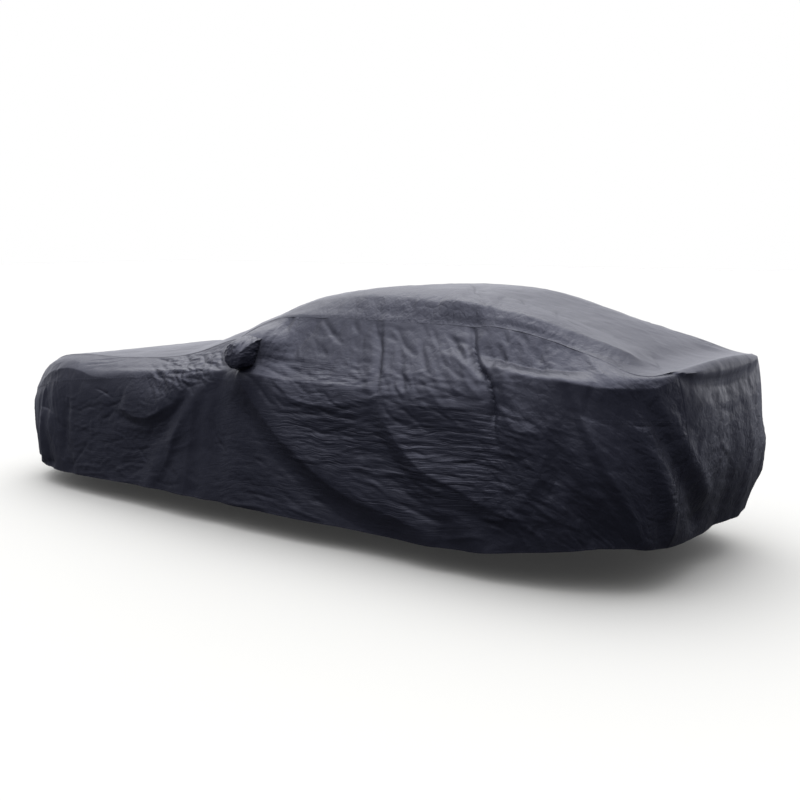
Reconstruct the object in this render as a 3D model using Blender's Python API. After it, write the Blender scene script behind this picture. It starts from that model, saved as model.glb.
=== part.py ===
"""Fitted car cover: thin cloth panels in the shape in which they hang, hollow inside.

Run with: blender --background --python part.py

Every table is in the shape frame: x runs along the cover from nose to tail and is 0 at mid
length, y is negative on the left side and positive on the right, and z is the height over the
floor. "out" is a distance from the centre line to either side. Each object is then moved so
that the part's origin lies under the top of the roof, where the cover is held. All in metres.
"""

import bmesh
import bpy
import numpy as np

# Driving sizes
CLOTH_THICKNESS = 0.002
SEAM_GAP = 0.0003
HOLD_POINT = (0.80, 0.0, 1.382)

# Ribs of a side, nose seam first, tail seam last. Each runs from the seam under the roof edge
# down over the shoulder, the belt seam and the widest line to the hem. The shoulder and belt
# stand at a part of the way from the seam to the widest line, seen from above.
# seam: x     out    z    widest: x   out    z    shoulder: part z   belt: part z  hem: in z
RIBS = (
    (-2.160, 0.460, 0.700, -2.270, 0.480, 0.46, 0.50, 0.645, 0.85, 0.560, 0.04, 0.135),
    (-2.100, 0.560, 0.735, -2.180, 0.660, 0.46, 0.50, 0.675, 0.85, 0.580, 0.03, 0.130),
    (-1.990, 0.630, 0.805, -2.040, 0.785, 0.47, 0.52, 0.740, 0.86, 0.620, 0.02, 0.120),
    (-1.830, 0.670, 0.860, -1.860, 0.870, 0.48, 0.55, 0.800, 0.88, 0.670, 0.01, 0.115),
    (-1.600, 0.700, 0.885, -1.620, 0.920, 0.50, 0.55, 0.835, 0.90, 0.720, 0.01, 0.115),
    (-1.250, 0.710, 0.890, -1.260, 0.930, 0.52, 0.55, 0.840, 0.90, 0.760, 0.01, 0.125),
    (-0.900, 0.710, 0.910, -0.900, 0.935, 0.53, 0.55, 0.860, 0.90, 0.800, 0.01, 0.135),
    (-0.600, 0.690, 0.960, -0.600, 0.940, 0.54, 0.60, 0.890, 0.90, 0.830, 0.01, 0.140),
    (-0.330, 0.650, 1.055, -0.330, 0.945, 0.54, 0.66, 0.920, 0.90, 0.845, 0.00, 0.140),
    (-0.080, 0.630, 1.155, -0.080, 0.950, 0.54, 0.70, 0.930, 0.90, 0.845, 0.00, 0.140),
    (+0.150, 0.640, 1.215, +0.150, 0.950, 0.54, 0.72, 0.930, 0.91, 0.845, 0.00, 0.138),
    (+0.500, 0.650, 1.220, +0.500, 0.955, 0.54, 0.73, 0.935, 0.92, 0.840, 0.00, 0.135),
    (+0.850, 0.650, 1.220, +0.850, 0.960, 0.54, 0.74, 0.945, 0.92, 0.835, 0.00, 0.130),
    (+1.180, 0.645, 1.220, +1.180, 0.965, 0.54, 0.74, 0.970, 0.92, 0.830, 0.00, 0.130),
    (+1.480, 0.640, 1.205, +1.500, 0.965, 0.54, 0.73, 1.000, 0.93, 0.830, 0.01, 0.145),
    (+1.720, 0.645, 1.155, +1.780, 0.945, 0.54, 0.73, 1.010, 0.93, 0.830, 0.03, 0.185),
    (+1.930, 0.665, 1.100, +2.010, 0.885, 0.54, 0.73, 1.005, 0.92, 0.830, 0.05, 0.220),
    (+2.090, 0.695, 1.045, +2.180, 0.780, 0.54, 0.66, 0.985, 0.90, 0.825, 0.06, 0.235),
    (+2.190, 0.675, 1.030, +2.275, 0.660, 0.54, 0.50, 0.970, 0.88, 0.820, 0.06, 0.230),
    (+2.235, 0.570, 1.040, +2.325, 0.540, 0.54, 0.45, 0.965, 0.86, 0.820, 0.06, 0.225),
)

# Centre line of the top panel, from the nose hem over the roof to the tail hem. A row pairs
# with each stop on the nose seam (hem, widest, belt, shoulder), each rib and each stop on the
# tail seam. Its crown across the panel is 1 - (1 - part ** flatness) ** (1 / roundness).
# x       z      flatness roundness
CENTRE_LINE = (
    (-2.24, 0.140, 2.0, 1.0),
    (-2.33, 0.460, 2.0, 1.0),
    (-2.31, 0.580, 2.0, 1.0),
    (-2.28, 0.665, 2.0, 1.0),
    (-2.23, 0.740, 2.0, 1.0),
    (-2.16, 0.775, 2.0, 1.0),
    (-2.04, 0.815, 2.0, 1.0),
    (-1.87, 0.850, 2.0, 1.0),
    (-1.60, 0.890, 2.0, 1.0),
    (-1.25, 0.930, 2.0, 1.0),
    (-0.95, 0.970, 2.0, 1.0),
    (-0.72, 1.015, 2.2, 1.0),
    (-0.52, 1.095, 2.4, 1.1),
    (-0.25, 1.200, 2.6, 1.2),
    (+0.05, 1.300, 3.2, 1.5),
    (+0.43, 1.367, 4.6, 2.0),
    (+0.82, 1.388, 5.0, 2.0),
    (+1.15, 1.365, 4.6, 2.0),
    (+1.45, 1.290, 3.4, 1.5),
    (+1.70, 1.210, 2.6, 1.2),
    (+1.93, 1.125, 2.2, 1.0),
    (+2.09, 1.063, 2.0, 1.0),
    (+2.20, 1.045, 2.0, 1.0),
    (+2.27, 1.060, 2.0, 1.0),
    (+2.31, 0.985, 2.0, 1.0),
    (+2.345, 0.830, 2.0, 1.0),
    (+2.36, 0.540, 2.0, 1.0),
    (+2.30, 0.225, 2.0, 1.0),
)

# Main folds. Each is a soft ridge (height over 0) or trough (under 0) along a curve through its
# path, with its half width and height at the start and at the end.
# name, path of (x, out, z), (half width at start, end), (height at start, end)
LEFT_FOLDS = (
    ("pocket pull", ((0.00, 0.82, 1.00), (0.03, 0.88, 0.92)), (0.16, 0.16), (0.150, 0.080)),
    ("pocket tent", ((0.00, 0.90, 0.84), (0.12, 0.95, 0.54), (0.28, 0.95, 0.19)),
     (0.12, 0.20), (0.035, 0.010)),
    ("front diagonal ridge", ((-0.03, 0.90, 0.89), (0.16, 0.94, 0.71), (0.47, 0.96, 0.48),
                          (0.84, 0.96, 0.30), (1.25, 0.96, 0.18)), (0.04, 0.07), (0.018, 0.022)),
    ("front diagonal trough", ((-0.04, 0.91, 0.87), (0.13, 0.95, 0.62), (0.38, 0.96, 0.42),
                           (0.70, 0.96, 0.26), (1.04, 0.96, 0.16)), (0.04, 0.08), (-0.025, -0.048)),
    ("hanging trough one", ((-0.23, 0.92, 0.83), (-0.35, 0.94, 0.60), (-0.37, 0.94, 0.18)),
     (0.04, 0.05), (-0.012, -0.036)),
    ("hanging ridge", ((-0.21, 0.92, 0.85), (-0.28, 0.94, 0.66), (-0.28, 0.95, 0.16)),
     (0.03, 0.04), (0.010, 0.018)),
    ("hanging trough two", ((-0.16, 0.92, 0.81), (-0.19, 0.95, 0.56), (-0.18, 0.95, 0.14)),
     (0.04, 0.05), (-0.012, -0.034)),
    ("slanting ridge", ((-0.24, 0.91, 0.87), (-0.34, 0.93, 0.77), (-0.50, 0.94, 0.56),
                        (-0.67, 0.93, 0.32), (-0.77, 0.93, 0.14)), (0.05, 0.07), (0.012, 0.018)),
    ("swag trough", ((-1.10, 0.93, 0.59), (-0.93, 0.93, 0.47), (-0.74, 0.94, 0.46),
                     (-0.56, 0.94, 0.57), (-0.42, 0.93, 0.77)), (0.05, 0.05), (-0.012, -0.028)),
    ("swag bulge", ((-0.93, 0.93, 0.71), (-0.68, 0.93, 0.68), (-0.47, 0.92, 0.79)),
     (0.09, 0.08), (0.018, 0.020)),
    ("nose trough one", ((-1.78, 0.88, 0.60), (-1.80, 0.89, 0.37), (-1.77, 0.89, 0.15)),
     (0.05, 0.05), (-0.008, -0.020)),
    ("nose trough two", ((-1.54, 0.91, 0.70), (-1.58, 0.92, 0.46), (-1.52, 0.92, 0.15)),
     (0.05, 0.05), (-0.006, -0.014)),
    ("nose corner trough", ((-2.03, 0.78, 0.66), (-2.02, 0.79, 0.15)), (0.05, 0.05), (-0.006, -0.018)),
    ("front upper trough", ((0.38, 0.55, 1.32), (0.33, 0.64, 1.24), (0.27, 0.77, 1.06), (0.29, 0.87, 0.92)),
     (0.04, 0.06), (-0.010, -0.014)),
    ("middle upper trough", ((0.46, 0.55, 1.33), (0.63, 0.74, 1.11), (0.70, 0.86, 0.94)),
     (0.04, 0.06), (-0.012, -0.006)),
    ("long ridge", ((0.76, 0.66, 1.20), (0.84, 0.86, 0.97), (0.98, 0.95, 0.74), (1.19, 0.97, 0.46),
                    (1.36, 0.97, 0.33), (1.54, 0.95, 0.15)), (0.04, 0.07), (0.012, 0.028)),
    ("long trough", ((0.68, 0.66, 1.18), (0.74, 0.86, 0.97), (0.86, 0.95, 0.72), (1.06, 0.97, 0.43),
                     (1.22, 0.97, 0.30), (1.38, 0.95, 0.14)), (0.04, 0.07), (-0.008, -0.026)),
    ("gather trough", ((1.19, 0.55, 1.32), (1.35, 0.71, 1.15), (1.50, 0.88, 1.00),
                       (1.58, 0.95, 0.80), (1.64, 0.96, 0.55)), (0.04, 0.04), (-0.018, -0.024)),
    ("gather ridge", ((1.29, 0.57, 1.28), (1.45, 0.73, 1.13), (1.61, 0.89, 0.99), (1.70, 0.94, 0.78)),
     (0.04, 0.05), (0.018, 0.010)),
    ("rear ridge", ((1.70, 0.62, 1.17), (1.86, 0.87, 0.99), (1.97, 0.89, 0.74), (2.10, 0.82, 0.47),
                    (2.20, 0.69, 0.25)), (0.04, 0.06), (0.008, 0.026)),
    ("rear trough", ((1.78, 0.92, 0.82), (1.92, 0.91, 0.55), (2.05, 0.83, 0.28)),
     (0.05, 0.07), (-0.006, -0.030)),
    ("corner ridge", ((2.08, 0.74, 0.98), (2.23, 0.72, 0.73), (2.28, 0.64, 0.52), (2.28, 0.56, 0.30)),
     (0.04, 0.05), (0.006, 0.018)),
    ("corner trough", ((2.17, 0.75, 0.95), (2.26, 0.67, 0.74), (2.31, 0.53, 0.55), (2.31, 0.33, 0.34)),
     (0.04, 0.07), (-0.010, -0.030)),
    ("tail ridge", ((2.22, 0.70, 0.93), (2.32, 0.54, 0.69), (2.34, 0.32, 0.45)),
     (0.04, 0.06), (0.014, 0.018)),
)
RIGHT_FOLDS = (
    ("pocket pull", ((0.00, 0.82, 1.00), (0.03, 0.88, 0.92)), (0.16, 0.16), (0.150, 0.080)),
    ("pocket tent", ((0.00, 0.90, 0.84), (0.10, 0.95, 0.54), (0.24, 0.95, 0.19)),
     (0.12, 0.18), (0.033, 0.008)),
    ("front diagonal ridge", ((-0.02, 0.90, 0.88), (0.12, 0.94, 0.68), (0.38, 0.96, 0.44),
                          (0.70, 0.96, 0.18)), (0.04, 0.07), (0.016, 0.022)),
    ("front diagonal trough", ((-0.04, 0.91, 0.85), (0.08, 0.95, 0.60), (0.28, 0.96, 0.36),
                           (0.50, 0.96, 0.15)), (0.04, 0.07), (-0.020, -0.044)),
    ("hanging trough", ((-0.20, 0.92, 0.82), (-0.31, 0.94, 0.55), (-0.36, 0.94, 0.15)),
     (0.04, 0.07), (-0.012, -0.036)),
    ("slanting ridge", ((-0.28, 0.92, 0.85), (-0.48, 0.94, 0.60), (-0.70, 0.93, 0.15)),
     (0.05, 0.07), (0.010, 0.020)),
    ("swag trough", ((-1.20, 0.93, 0.62), (-1.00, 0.93, 0.46), (-0.78, 0.94, 0.50),
                     (-0.60, 0.93, 0.75)), (0.05, 0.06), (-0.010, -0.024)),
    ("nose trough one", ((-1.72, 0.90, 0.62), (-1.75, 0.90, 0.15)), (0.05, 0.06), (-0.006, -0.018)),
    ("nose trough two", ((-1.99, 0.80, 0.64), (-1.98, 0.80, 0.15)), (0.05, 0.05), (-0.006, -0.016)),
    ("front upper trough", ((0.36, 0.57, 1.30), (0.30, 0.77, 1.06), (0.32, 0.87, 0.92)),
     (0.04, 0.06), (-0.010, -0.012)),
    ("long ridge", ((0.70, 0.66, 1.20), (0.78, 0.86, 0.97), (0.90, 0.95, 0.72), (1.05, 0.97, 0.14)),
     (0.04, 0.07), (0.010, 0.026)),
    ("long trough", ((0.80, 0.66, 1.18), (0.90, 0.88, 0.95), (1.04, 0.95, 0.70), (1.24, 0.97, 0.14)),
     (0.04, 0.07), (-0.008, -0.026)),
    ("gather trough", ((1.24, 0.55, 1.31), (1.42, 0.76, 1.10), (1.54, 0.92, 0.90), (1.58, 0.96, 0.60)),
     (0.04, 0.05), (-0.014, -0.018)),
    ("rear ridge", ((1.72, 0.64, 1.15), (1.84, 0.88, 0.97), (1.98, 0.88, 0.60), (2.08, 0.80, 0.24)),
     (0.04, 0.07), (0.008, 0.026)),
    ("corner trough", ((2.14, 0.77, 0.92), (2.22, 0.72, 0.60), (2.22, 0.68, 0.26)),
     (0.05, 0.06), (-0.010, -0.034)),
    ("corner bulge", ((2.29, 0.60, 0.58), (2.28, 0.62, 0.42)), (0.08, 0.09), (0.026, 0.034)),
)
# On the top panel the paths are (x, y, z), with y negative on the left.
TOP_FOLDS = (
    ("roof gather", ((1.16, -0.50, 1.34), (1.06, -0.22, 1.37), (0.98, 0.05, 1.38)),
     (0.05, 0.04), (-0.014, -0.002)),
    ("rear hollow", ((2.06, -0.42, 1.06), (2.07, 0.0, 1.07), (2.06, 0.42, 1.06)),
     (0.09, 0.09), (-0.014, -0.014)),
    ("lip", ((2.19, -0.60, 1.04), (2.26, 0.0, 1.06), (2.19, 0.60, 1.04)), (0.05, 0.05), (0.010, 0.010)),
    ("tail trough", ((2.33, -0.05, 0.90), (2.36, -0.02, 0.55), (2.32, 0.02, 0.24)),
     (0.06, 0.08), (-0.006, -0.020)),
    ("tail ridge", ((2.34, 0.22, 0.85), (2.35, 0.26, 0.55), (2.31, 0.28, 0.24)),
     (0.06, 0.08), (0.006, 0.018)),
    ("nose trough left", ((-2.30, -0.22, 0.60), (-2.28, -0.24, 0.15)), (0.06, 0.07), (-0.006, -0.018)),
    ("nose trough right", ((-2.30, 0.26, 0.60), (-2.28, 0.25, 0.15)), (0.06, 0.07), (-0.006, -0.018)),
    ("front slope trough left", ((-0.30, -0.62, 1.08), (-0.45, -0.35, 1.10), (-0.62, -0.05, 1.05)),
     (0.06, 0.07), (-0.012, -0.004)),
    ("front slope trough right", ((-0.28, 0.60, 1.10), (-0.42, 0.36, 1.11), (-0.62, 0.08, 1.05)),
     (0.06, 0.07), (-0.010, -0.004)),
)
# Slow uneven swell of the whole cover: turns along x, y and z in radians a metre, and phase
SWAY_WAVES = (
    (7.3, 2.0, 4.1, 0.0),
    (-5.2, 3.1, 9.4, 1.3),
    (12.5, -3.0, 0.0, -0.6),
)
SWAY_HEIGHT = 0.002

# Folds and sway move the cloth straight away from the nearest point of this box inside it
INNER_LOW = (-1.6, -0.45, -9.0)
INNER_HIGH = (1.5, 0.45, 0.75)

# Below the belt seam the ribs lean towards the tail with the long folds: most, at the hem, by
# this many ribs, and not at all outside this stretch of ribs.
LEAN = 1.4
LEAN_RIBS = (7.5, 19.0)

# Mirror pocket: the stretch of the upper side panel that it closes, as ribs and as stops from
# the seam (0) over the shoulder (1) to the belt seam (2). Then the bag: how far out its neck and
# tip are, its centre (x, z), its half sizes, how flat its end is and its collar's part of it.
POCKET_RIBS = (8.90, 9.75)
POCKET_STOPS = (0.62, 1.08)
POCKET_NECK_OUT = 0.965
POCKET_TIP_OUT = 1.070
POCKET_CENTRE = (+0.040, 1.022)
POCKET_HALF_LENGTH = 0.118
POCKET_HALF_HEIGHT = 0.098
POCKET_FLATNESS = 0.7
POCKET_COLLAR = 0.25

# Mesh steps: cells along the side before, over and after the pocket, down the upper side panel
# before, over and under the pocket, down the lower side panel, across the top panel and the bag
COLUMNS = (38, 4, 38)
UPPER_ROWS = (2, 2, 2)
LOWER_ROWS = 11
TOP_COLUMNS = 10
POCKET_CELLS = 8
# The top panel's columns crowd towards its edges, where it turns down, by this much
TOP_CROWDING = 0.35
FINE_STEPS = 400
FOLD_STEPS_PER_POINT = 6
# Stops down a rib after its seam: shoulder, belt seam, widest line and hem
LAST_STOP = 4

CLOTH_COLOUR = (0.020, 0.021, 0.027)
CLOTH_ROUGHNESS = 0.5


def smooth_rows(rows, at):
    """Values on the smooth curve through the rows, at the given row numbers."""
    rows = np.asarray(rows, float)
    at = np.asarray(at, float)
    first = np.clip(np.floor(at).astype(int), 0, len(rows) - 2)
    part = (at - first).reshape((-1,) + (1,) * (rows.ndim - 1))
    padded = np.concatenate([[2 * rows[0] - rows[1]], rows, [2 * rows[-1] - rows[-2]]])
    before, start, end, after = (padded[first + step] for step in range(4))
    bend = 2 * before - 5 * start + 4 * end - after
    turn = 3 * (start - end) + after - before
    return start + 0.5 * part * (end - before + part * (bend + part * turn))


def rib_stops():
    """The five stops of every rib: seam, shoulder, belt, widest and hem, as (x, out, z)."""
    table = np.array(RIBS)
    seam, wide = table[:, 0:2], table[:, 3:5]
    span = wide - seam
    shoulder = seam + table[:, 6:7] * span
    belt = seam + table[:, 8:9] * span
    hem = wide - table[:, 10:11] * span / np.linalg.norm(span, axis=1, keepdims=True)
    plans = (seam, shoulder, belt, wide, hem)
    heights = (table[:, 2], table[:, 7], table[:, 9], table[:, 5], table[:, 11])
    return np.stack([np.column_stack([plan, z]) for plan, z in zip(plans, heights)], axis=1)


def side_points(side, ribs, stops):
    """Points of one side (-1 left, 1 right) at rib numbers and at stops 0 (seam) to 4 (hem)."""
    ribs = np.asarray(ribs, float)
    start, end = LEAN_RIBS
    lean = LEAN * np.sin(np.pi * np.clip((ribs - start) / (end - start), 0, 1)) ** 2
    lines = []
    for stop in stops:
        along = smooth_rows(rib_stops(), ribs + lean * max(stop / 2 - 1, 0))
        lines.append(smooth_rows(np.swapaxes(along, 0, 1), [stop])[0])
    return np.stack(lines, axis=1) * (1, side, 1)


def top_edge(side, rows):
    """The top panel's edge: down the nose seam, along the roof seam and down the tail seam."""
    last_rib = len(RIBS) - 1
    edge = []
    for row in rows:
        rib = np.clip(row - LAST_STOP, 0, last_rib)
        stop = max(LAST_STOP - row, row - LAST_STOP - last_rib, 0)
        edge.append(side_points(side, [rib], [stop])[0, 0])
    return np.array(edge)


def top_points(rows, parts):
    """Points of the top panel at row numbers, and across from -1 (left seam) to 1 (right seam)."""
    centre = smooth_rows(CENTRE_LINE, rows)[:, None, :]
    parts = np.asarray(parts, float)
    left, right = (top_edge(side, rows)[:, None, :] for side in (-1, 1))
    edge = np.where(parts[None, :, None] < 0, left, right)
    part = np.abs(parts)[None, :]
    drop = 1 - (1 - part ** centre[..., 2]) ** (1 / centre[..., 3])
    x = centre[..., 0] + (edge[..., 0] - centre[..., 0]) * part ** 2
    y = edge[..., 1] * part
    z = centre[..., 1] + (edge[..., 2] - centre[..., 1]) * drop
    return np.stack([x, y, z], axis=-1)


def outward(points):
    """Unit direction out of the cover at each point: away from a box deep inside it."""
    away = points - np.clip(points, INNER_LOW, INNER_HIGH)
    return away / np.linalg.norm(away, axis=-1, keepdims=True)


def fold_height(points, path, widths, heights):
    """Height of one fold at the points: a bell across it that changes evenly along it."""
    line = smooth_rows(path, np.linspace(0, len(path) - 1, FOLD_STEPS_PER_POINT * len(path)))
    nearest = np.full(points.shape[:-1], np.inf)
    reached = np.zeros(points.shape[:-1])
    for number, (start, end) in enumerate(zip(line[:-1], line[1:])):
        span = end - start
        part = np.clip((points - start) @ span / (span @ span), 0, 1)
        distance = np.linalg.norm(points - start - part[..., None] * span, axis=-1)
        reached = np.where(distance < nearest, (number + part) / (len(line) - 1), reached)
        nearest = np.minimum(nearest, distance)
    width = widths[0] + (widths[1] - widths[0]) * reached
    height = heights[0] + (heights[1] - heights[0]) * reached
    return height * np.exp(-(nearest / width) ** 2)


def sway(points):
    """Height of the slow uneven swell at the points."""
    return SWAY_HEIGHT * sum(np.sin(points @ np.array(wave[:3]) + wave[3]) for wave in SWAY_WAVES)


def draped(points):
    """The points moved out or in by the folds and the sway."""
    lift = sway(points)
    for mirror, folds in ((-1, LEFT_FOLDS), (1, RIGHT_FOLDS), (1, TOP_FOLDS)):
        for _name, path, widths, heights in folds:
            lift = lift + fold_height(points, np.array(path) * (1, mirror, 1), widths, heights)
    return points + lift[..., None] * outward(points)


def stretch(start, end, cells):
    """Even steps from start to end without the start."""
    return list(np.linspace(start, end, cells + 1)[1:])


def rib_steps():
    """Rib numbers of the mesh columns, evenly spaced along the widest line but for the pocket."""
    finest = np.linspace(0, len(RIBS) - 1, FINE_STEPS)
    wide = side_points(1, finest, [3])[:, 0]
    length = np.concatenate([[0], np.cumsum(np.linalg.norm(np.diff(wide, axis=0), axis=1))])
    stops = np.interp((0, *POCKET_RIBS, finest[-1]), finest, length)
    steps = [0.0]
    for start, end, cells in zip(stops[:-1], stops[1:], COLUMNS):
        steps += stretch(start, end, cells)
    return np.interp(steps, length, finest)


def upper_steps():
    """Stops of the upper side panel's mesh rows, from the roof seam to the belt seam."""
    bounds = (0, *POCKET_STOPS, 2)
    steps = [0.0]
    for start, end, cells in zip(bounds[:-1], bounds[1:], UPPER_ROWS):
        steps += stretch(start, end, cells)
    return np.array(steps)


def lower_steps():
    """Stops of the lower side panel's mesh rows, from the belt seam to the hem."""
    return np.array([2.0] + stretch(2, LAST_STOP, LOWER_ROWS))


def pulled_in(points):
    """The grid with its four edges drawn back by half a seam gap."""
    points = points.copy()
    edges = ((points[0], points[1]), (points[-1], points[-2]),
             (points[:, 0], points[:, 1]), (points[:, -1], points[:, -2]))
    for edge, neighbour in edges:
        away = neighbour - edge
        edge += away * (SEAM_GAP / 2 / np.linalg.norm(away, axis=-1, keepdims=True))
    return points


def cloth_material(name):
    """Dark, even, slightly shiny synthetic cloth."""
    material = bpy.data.materials.new(name)
    material.use_nodes = True
    shader = material.node_tree.nodes["Principled BSDF"]
    shader.inputs["Base Color"].default_value = (*CLOTH_COLOUR, 1)
    shader.inputs["Roughness"].default_value = CLOTH_ROUGHNESS
    shader.inputs["Metallic"].default_value = 0.0
    material.diffuse_color = (*CLOTH_COLOUR, 1)
    return material


def middles(values):
    """The middle of each step between the values."""
    return (np.asarray(values)[:-1] + np.asarray(values)[1:]) / 2


def falling_diagonals(points, centres):
    """Whether each cell is split from its first corner: its better fit to the cloth's own centre."""
    falling = (points[:-1, :-1] + points[1:, 1:]) / 2
    rising = (points[1:, :-1] + points[:-1, 1:]) / 2
    return np.linalg.norm(falling - centres, axis=-1) <= np.linalg.norm(rising - centres, axis=-1)


def cloth_solid(name, outer, inner, centres, skipped=()):
    """A closed solid from an outer and an inner grid of points, without the skipped cells.

    Both layers split each cell the same way, so that they stay one cloth thickness apart.
    """
    rows, columns = outer.shape[:2]
    falling = falling_diagonals(outer, centres)
    mesh = bmesh.new()
    layers = [[[mesh.verts.new(point) for point in row] for row in grid] for grid in (outer, inner)]
    for row in range(rows - 1):
        for column in range(columns - 1):
            if (row, column) in skipped:
                continue
            ring = [(row, column), (row, column + 1), (row + 1, column + 1), (row + 1, column)]
            if not falling[row, column]:
                ring = ring[1:] + ring[:1]
            for corners in ((ring[0], ring[1], ring[2]), (ring[0], ring[2], ring[3])):
                mesh.faces.new([layers[0][r][c] for r, c in corners])
                mesh.faces.new([layers[1][r][c] for r, c in reversed(corners)])
    partner = {}
    for outer_row, inner_row in zip(*layers):
        partner.update(zip(outer_row, inner_row))
    rims = [edge for edge in mesh.edges if len(edge.link_faces) == 1 and edge.verts[0] in partner]
    for edge in rims:
        loop = edge.link_loops[0]
        start, end = loop.vert, loop.link_loop_next.vert
        mesh.faces.new((end, start, partner[start], partner[end]))
    loose = [vert for vert in mesh.verts if not vert.link_faces]
    bmesh.ops.delete(mesh, geom=loose, context="VERTS")
    bmesh.ops.recalc_face_normals(mesh, faces=mesh.faces)
    data = bpy.data.meshes.new(name)
    mesh.to_mesh(data)
    mesh.free()
    data.materials.append(cloth_material(name))
    solid = bpy.data.objects.new(name, data)
    solid.location = [-distance for distance in HOLD_POINT]
    bpy.context.scene.collection.objects.link(solid)
    return solid


def with_thickness(points):
    """The outer grid and the inner one, one cloth thickness further in."""
    return points, points - CLOTH_THICKNESS * outward(points)


def make_top_panel():
    ribs, upper, lower = rib_steps(), upper_steps(), lower_steps()
    last_row = LAST_STOP + len(RIBS) - 1
    down_seam = np.concatenate([upper, lower[1:]])
    rows = np.concatenate([LAST_STOP - down_seam[::-1], LAST_STOP + ribs[1:-1], last_row + down_seam])
    even = np.linspace(-1, 1, TOP_COLUMNS + 1)
    parts = even * (1 + TOP_CROWDING * (1 - even ** 2))
    outer, inner = with_thickness(draped(top_points(rows, parts)))
    centres = draped(top_points(middles(rows), middles(parts)))
    return cloth_solid("top_panel", pulled_in(outer), pulled_in(inner), centres)


def pocket_cells():
    """The cells of the upper side panel's mesh that the pocket takes."""
    first_column, first_row = COLUMNS[0], UPPER_ROWS[0]
    return [(column, row) for column in range(first_column, first_column + COLUMNS[1])
            for row in range(first_row, first_row + UPPER_ROWS[1])]


def make_side(side, name, stops, skipped=()):
    ribs = rib_steps()
    outer, inner = with_thickness(draped(side_points(side, ribs, stops)))
    centres = draped(side_points(side, middles(ribs), middles(stops)))
    return cloth_solid(name, pulled_in(outer), pulled_in(inner), centres, skipped)


def pocket_rim(side, across, down):
    """Points of the side panel's flat mesh cells over the pocket, both ways from -1 to 1."""
    panel = draped(side_points(side, rib_steps(), upper_steps()))
    first_column, first_row = COLUMNS[0], UPPER_ROWS[0]
    column = first_column + (across + 1) / 2 * COLUMNS[1]
    row = first_row + (down + 1) / 2 * UPPER_ROWS[1]
    low_column = np.minimum(column.astype(int), first_column + COLUMNS[1] - 1)
    low_row = np.minimum(row.astype(int), first_row + UPPER_ROWS[1] - 1)
    column_part, row_part = (column - low_column)[..., None], (row - low_row)[..., None]
    near = panel[low_column, low_row] * (1 - row_part) + panel[low_column, low_row + 1] * row_part
    far = panel[low_column + 1, low_row] * (1 - row_part) + panel[low_column + 1, low_row + 1] * row_part
    return near * (1 - column_part) + far * column_part


def pocket_points(side, cells):
    """The bag: its rim fills the hole in the side panel, then it swells to a rounded end."""
    even = np.linspace(-1, 1, cells + 1)
    across, down = np.meshgrid(even, even, indexing="ij")
    ring = np.maximum(np.abs(across), np.abs(down))
    safe_ring = np.maximum(ring, 1e-9)
    rim = pocket_rim(side, across / safe_ring, down / safe_ring)
    middle = pocket_rim(side, np.zeros(1), np.zeros(1))
    rim = middle + (rim - middle) * (1 - SEAM_GAP / POCKET_HALF_LENGTH)
    turn = np.arctan2(down, across)
    rise = np.pi / 2 * (1 - ring)
    size = np.cos(rise) ** POCKET_FLATNESS
    out = POCKET_NECK_OUT + (POCKET_TIP_OUT - POCKET_NECK_OUT) * np.sin(rise) ** POCKET_FLATNESS
    body = np.stack([POCKET_CENTRE[0] + POCKET_HALF_LENGTH * size * np.cos(turn), side * out,
                     POCKET_CENTRE[1] - POCKET_HALF_HEIGHT * size * np.sin(turn)], axis=-1)
    share = np.clip((1 - ring) / POCKET_COLLAR, 0, 1)[..., None]
    return rim + (body - rim) * share


def grid_normals(points):
    """Unit normals of a grid of points."""
    normals = np.cross(np.gradient(points, axis=0), np.gradient(points, axis=1))
    return normals / np.linalg.norm(normals, axis=-1, keepdims=True)


def make_pocket(side, name):
    outer = pocket_points(side, POCKET_CELLS)
    inwards = -side * grid_normals(outer)
    middle = pocket_rim(side, np.zeros(1), np.zeros(1))
    for rim in (np.s_[0, :], np.s_[-1, :], np.s_[:, 0], np.s_[:, -1]):
        inwards[rim] = middle - outer[rim]
    inwards /= np.linalg.norm(inwards, axis=-1, keepdims=True)
    centres = pocket_points(side, 2 * POCKET_CELLS)[1::2, 1::2]
    return cloth_solid(name, outer, outer + CLOTH_THICKNESS * inwards, centres)


def clear_scene():
    for item in list(bpy.data.objects):
        bpy.data.objects.remove(item, do_unlink=True)


def main():
    clear_scene()
    make_top_panel()
    for side, word in ((-1, "left"), (1, "right")):
        make_side(side, f"upper_side_{word}", upper_steps(), pocket_cells())
        make_side(side, f"lower_side_{word}", lower_steps())
        make_pocket(side, f"mirror_pocket_{word}")


main()
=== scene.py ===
"""Looks of the fitted car cover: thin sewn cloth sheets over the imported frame, and a plain studio.

Tables are in the shape frame, in metres: x runs from nose to tail and is 0 at mid length, y is
negative on the left side, z is the height over the floor, and "out" is a distance from the
centre line to either side. Creases are on the flat cloth of their side or top, in metres too.
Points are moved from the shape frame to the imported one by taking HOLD_POINT away.
"""

import math

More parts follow.
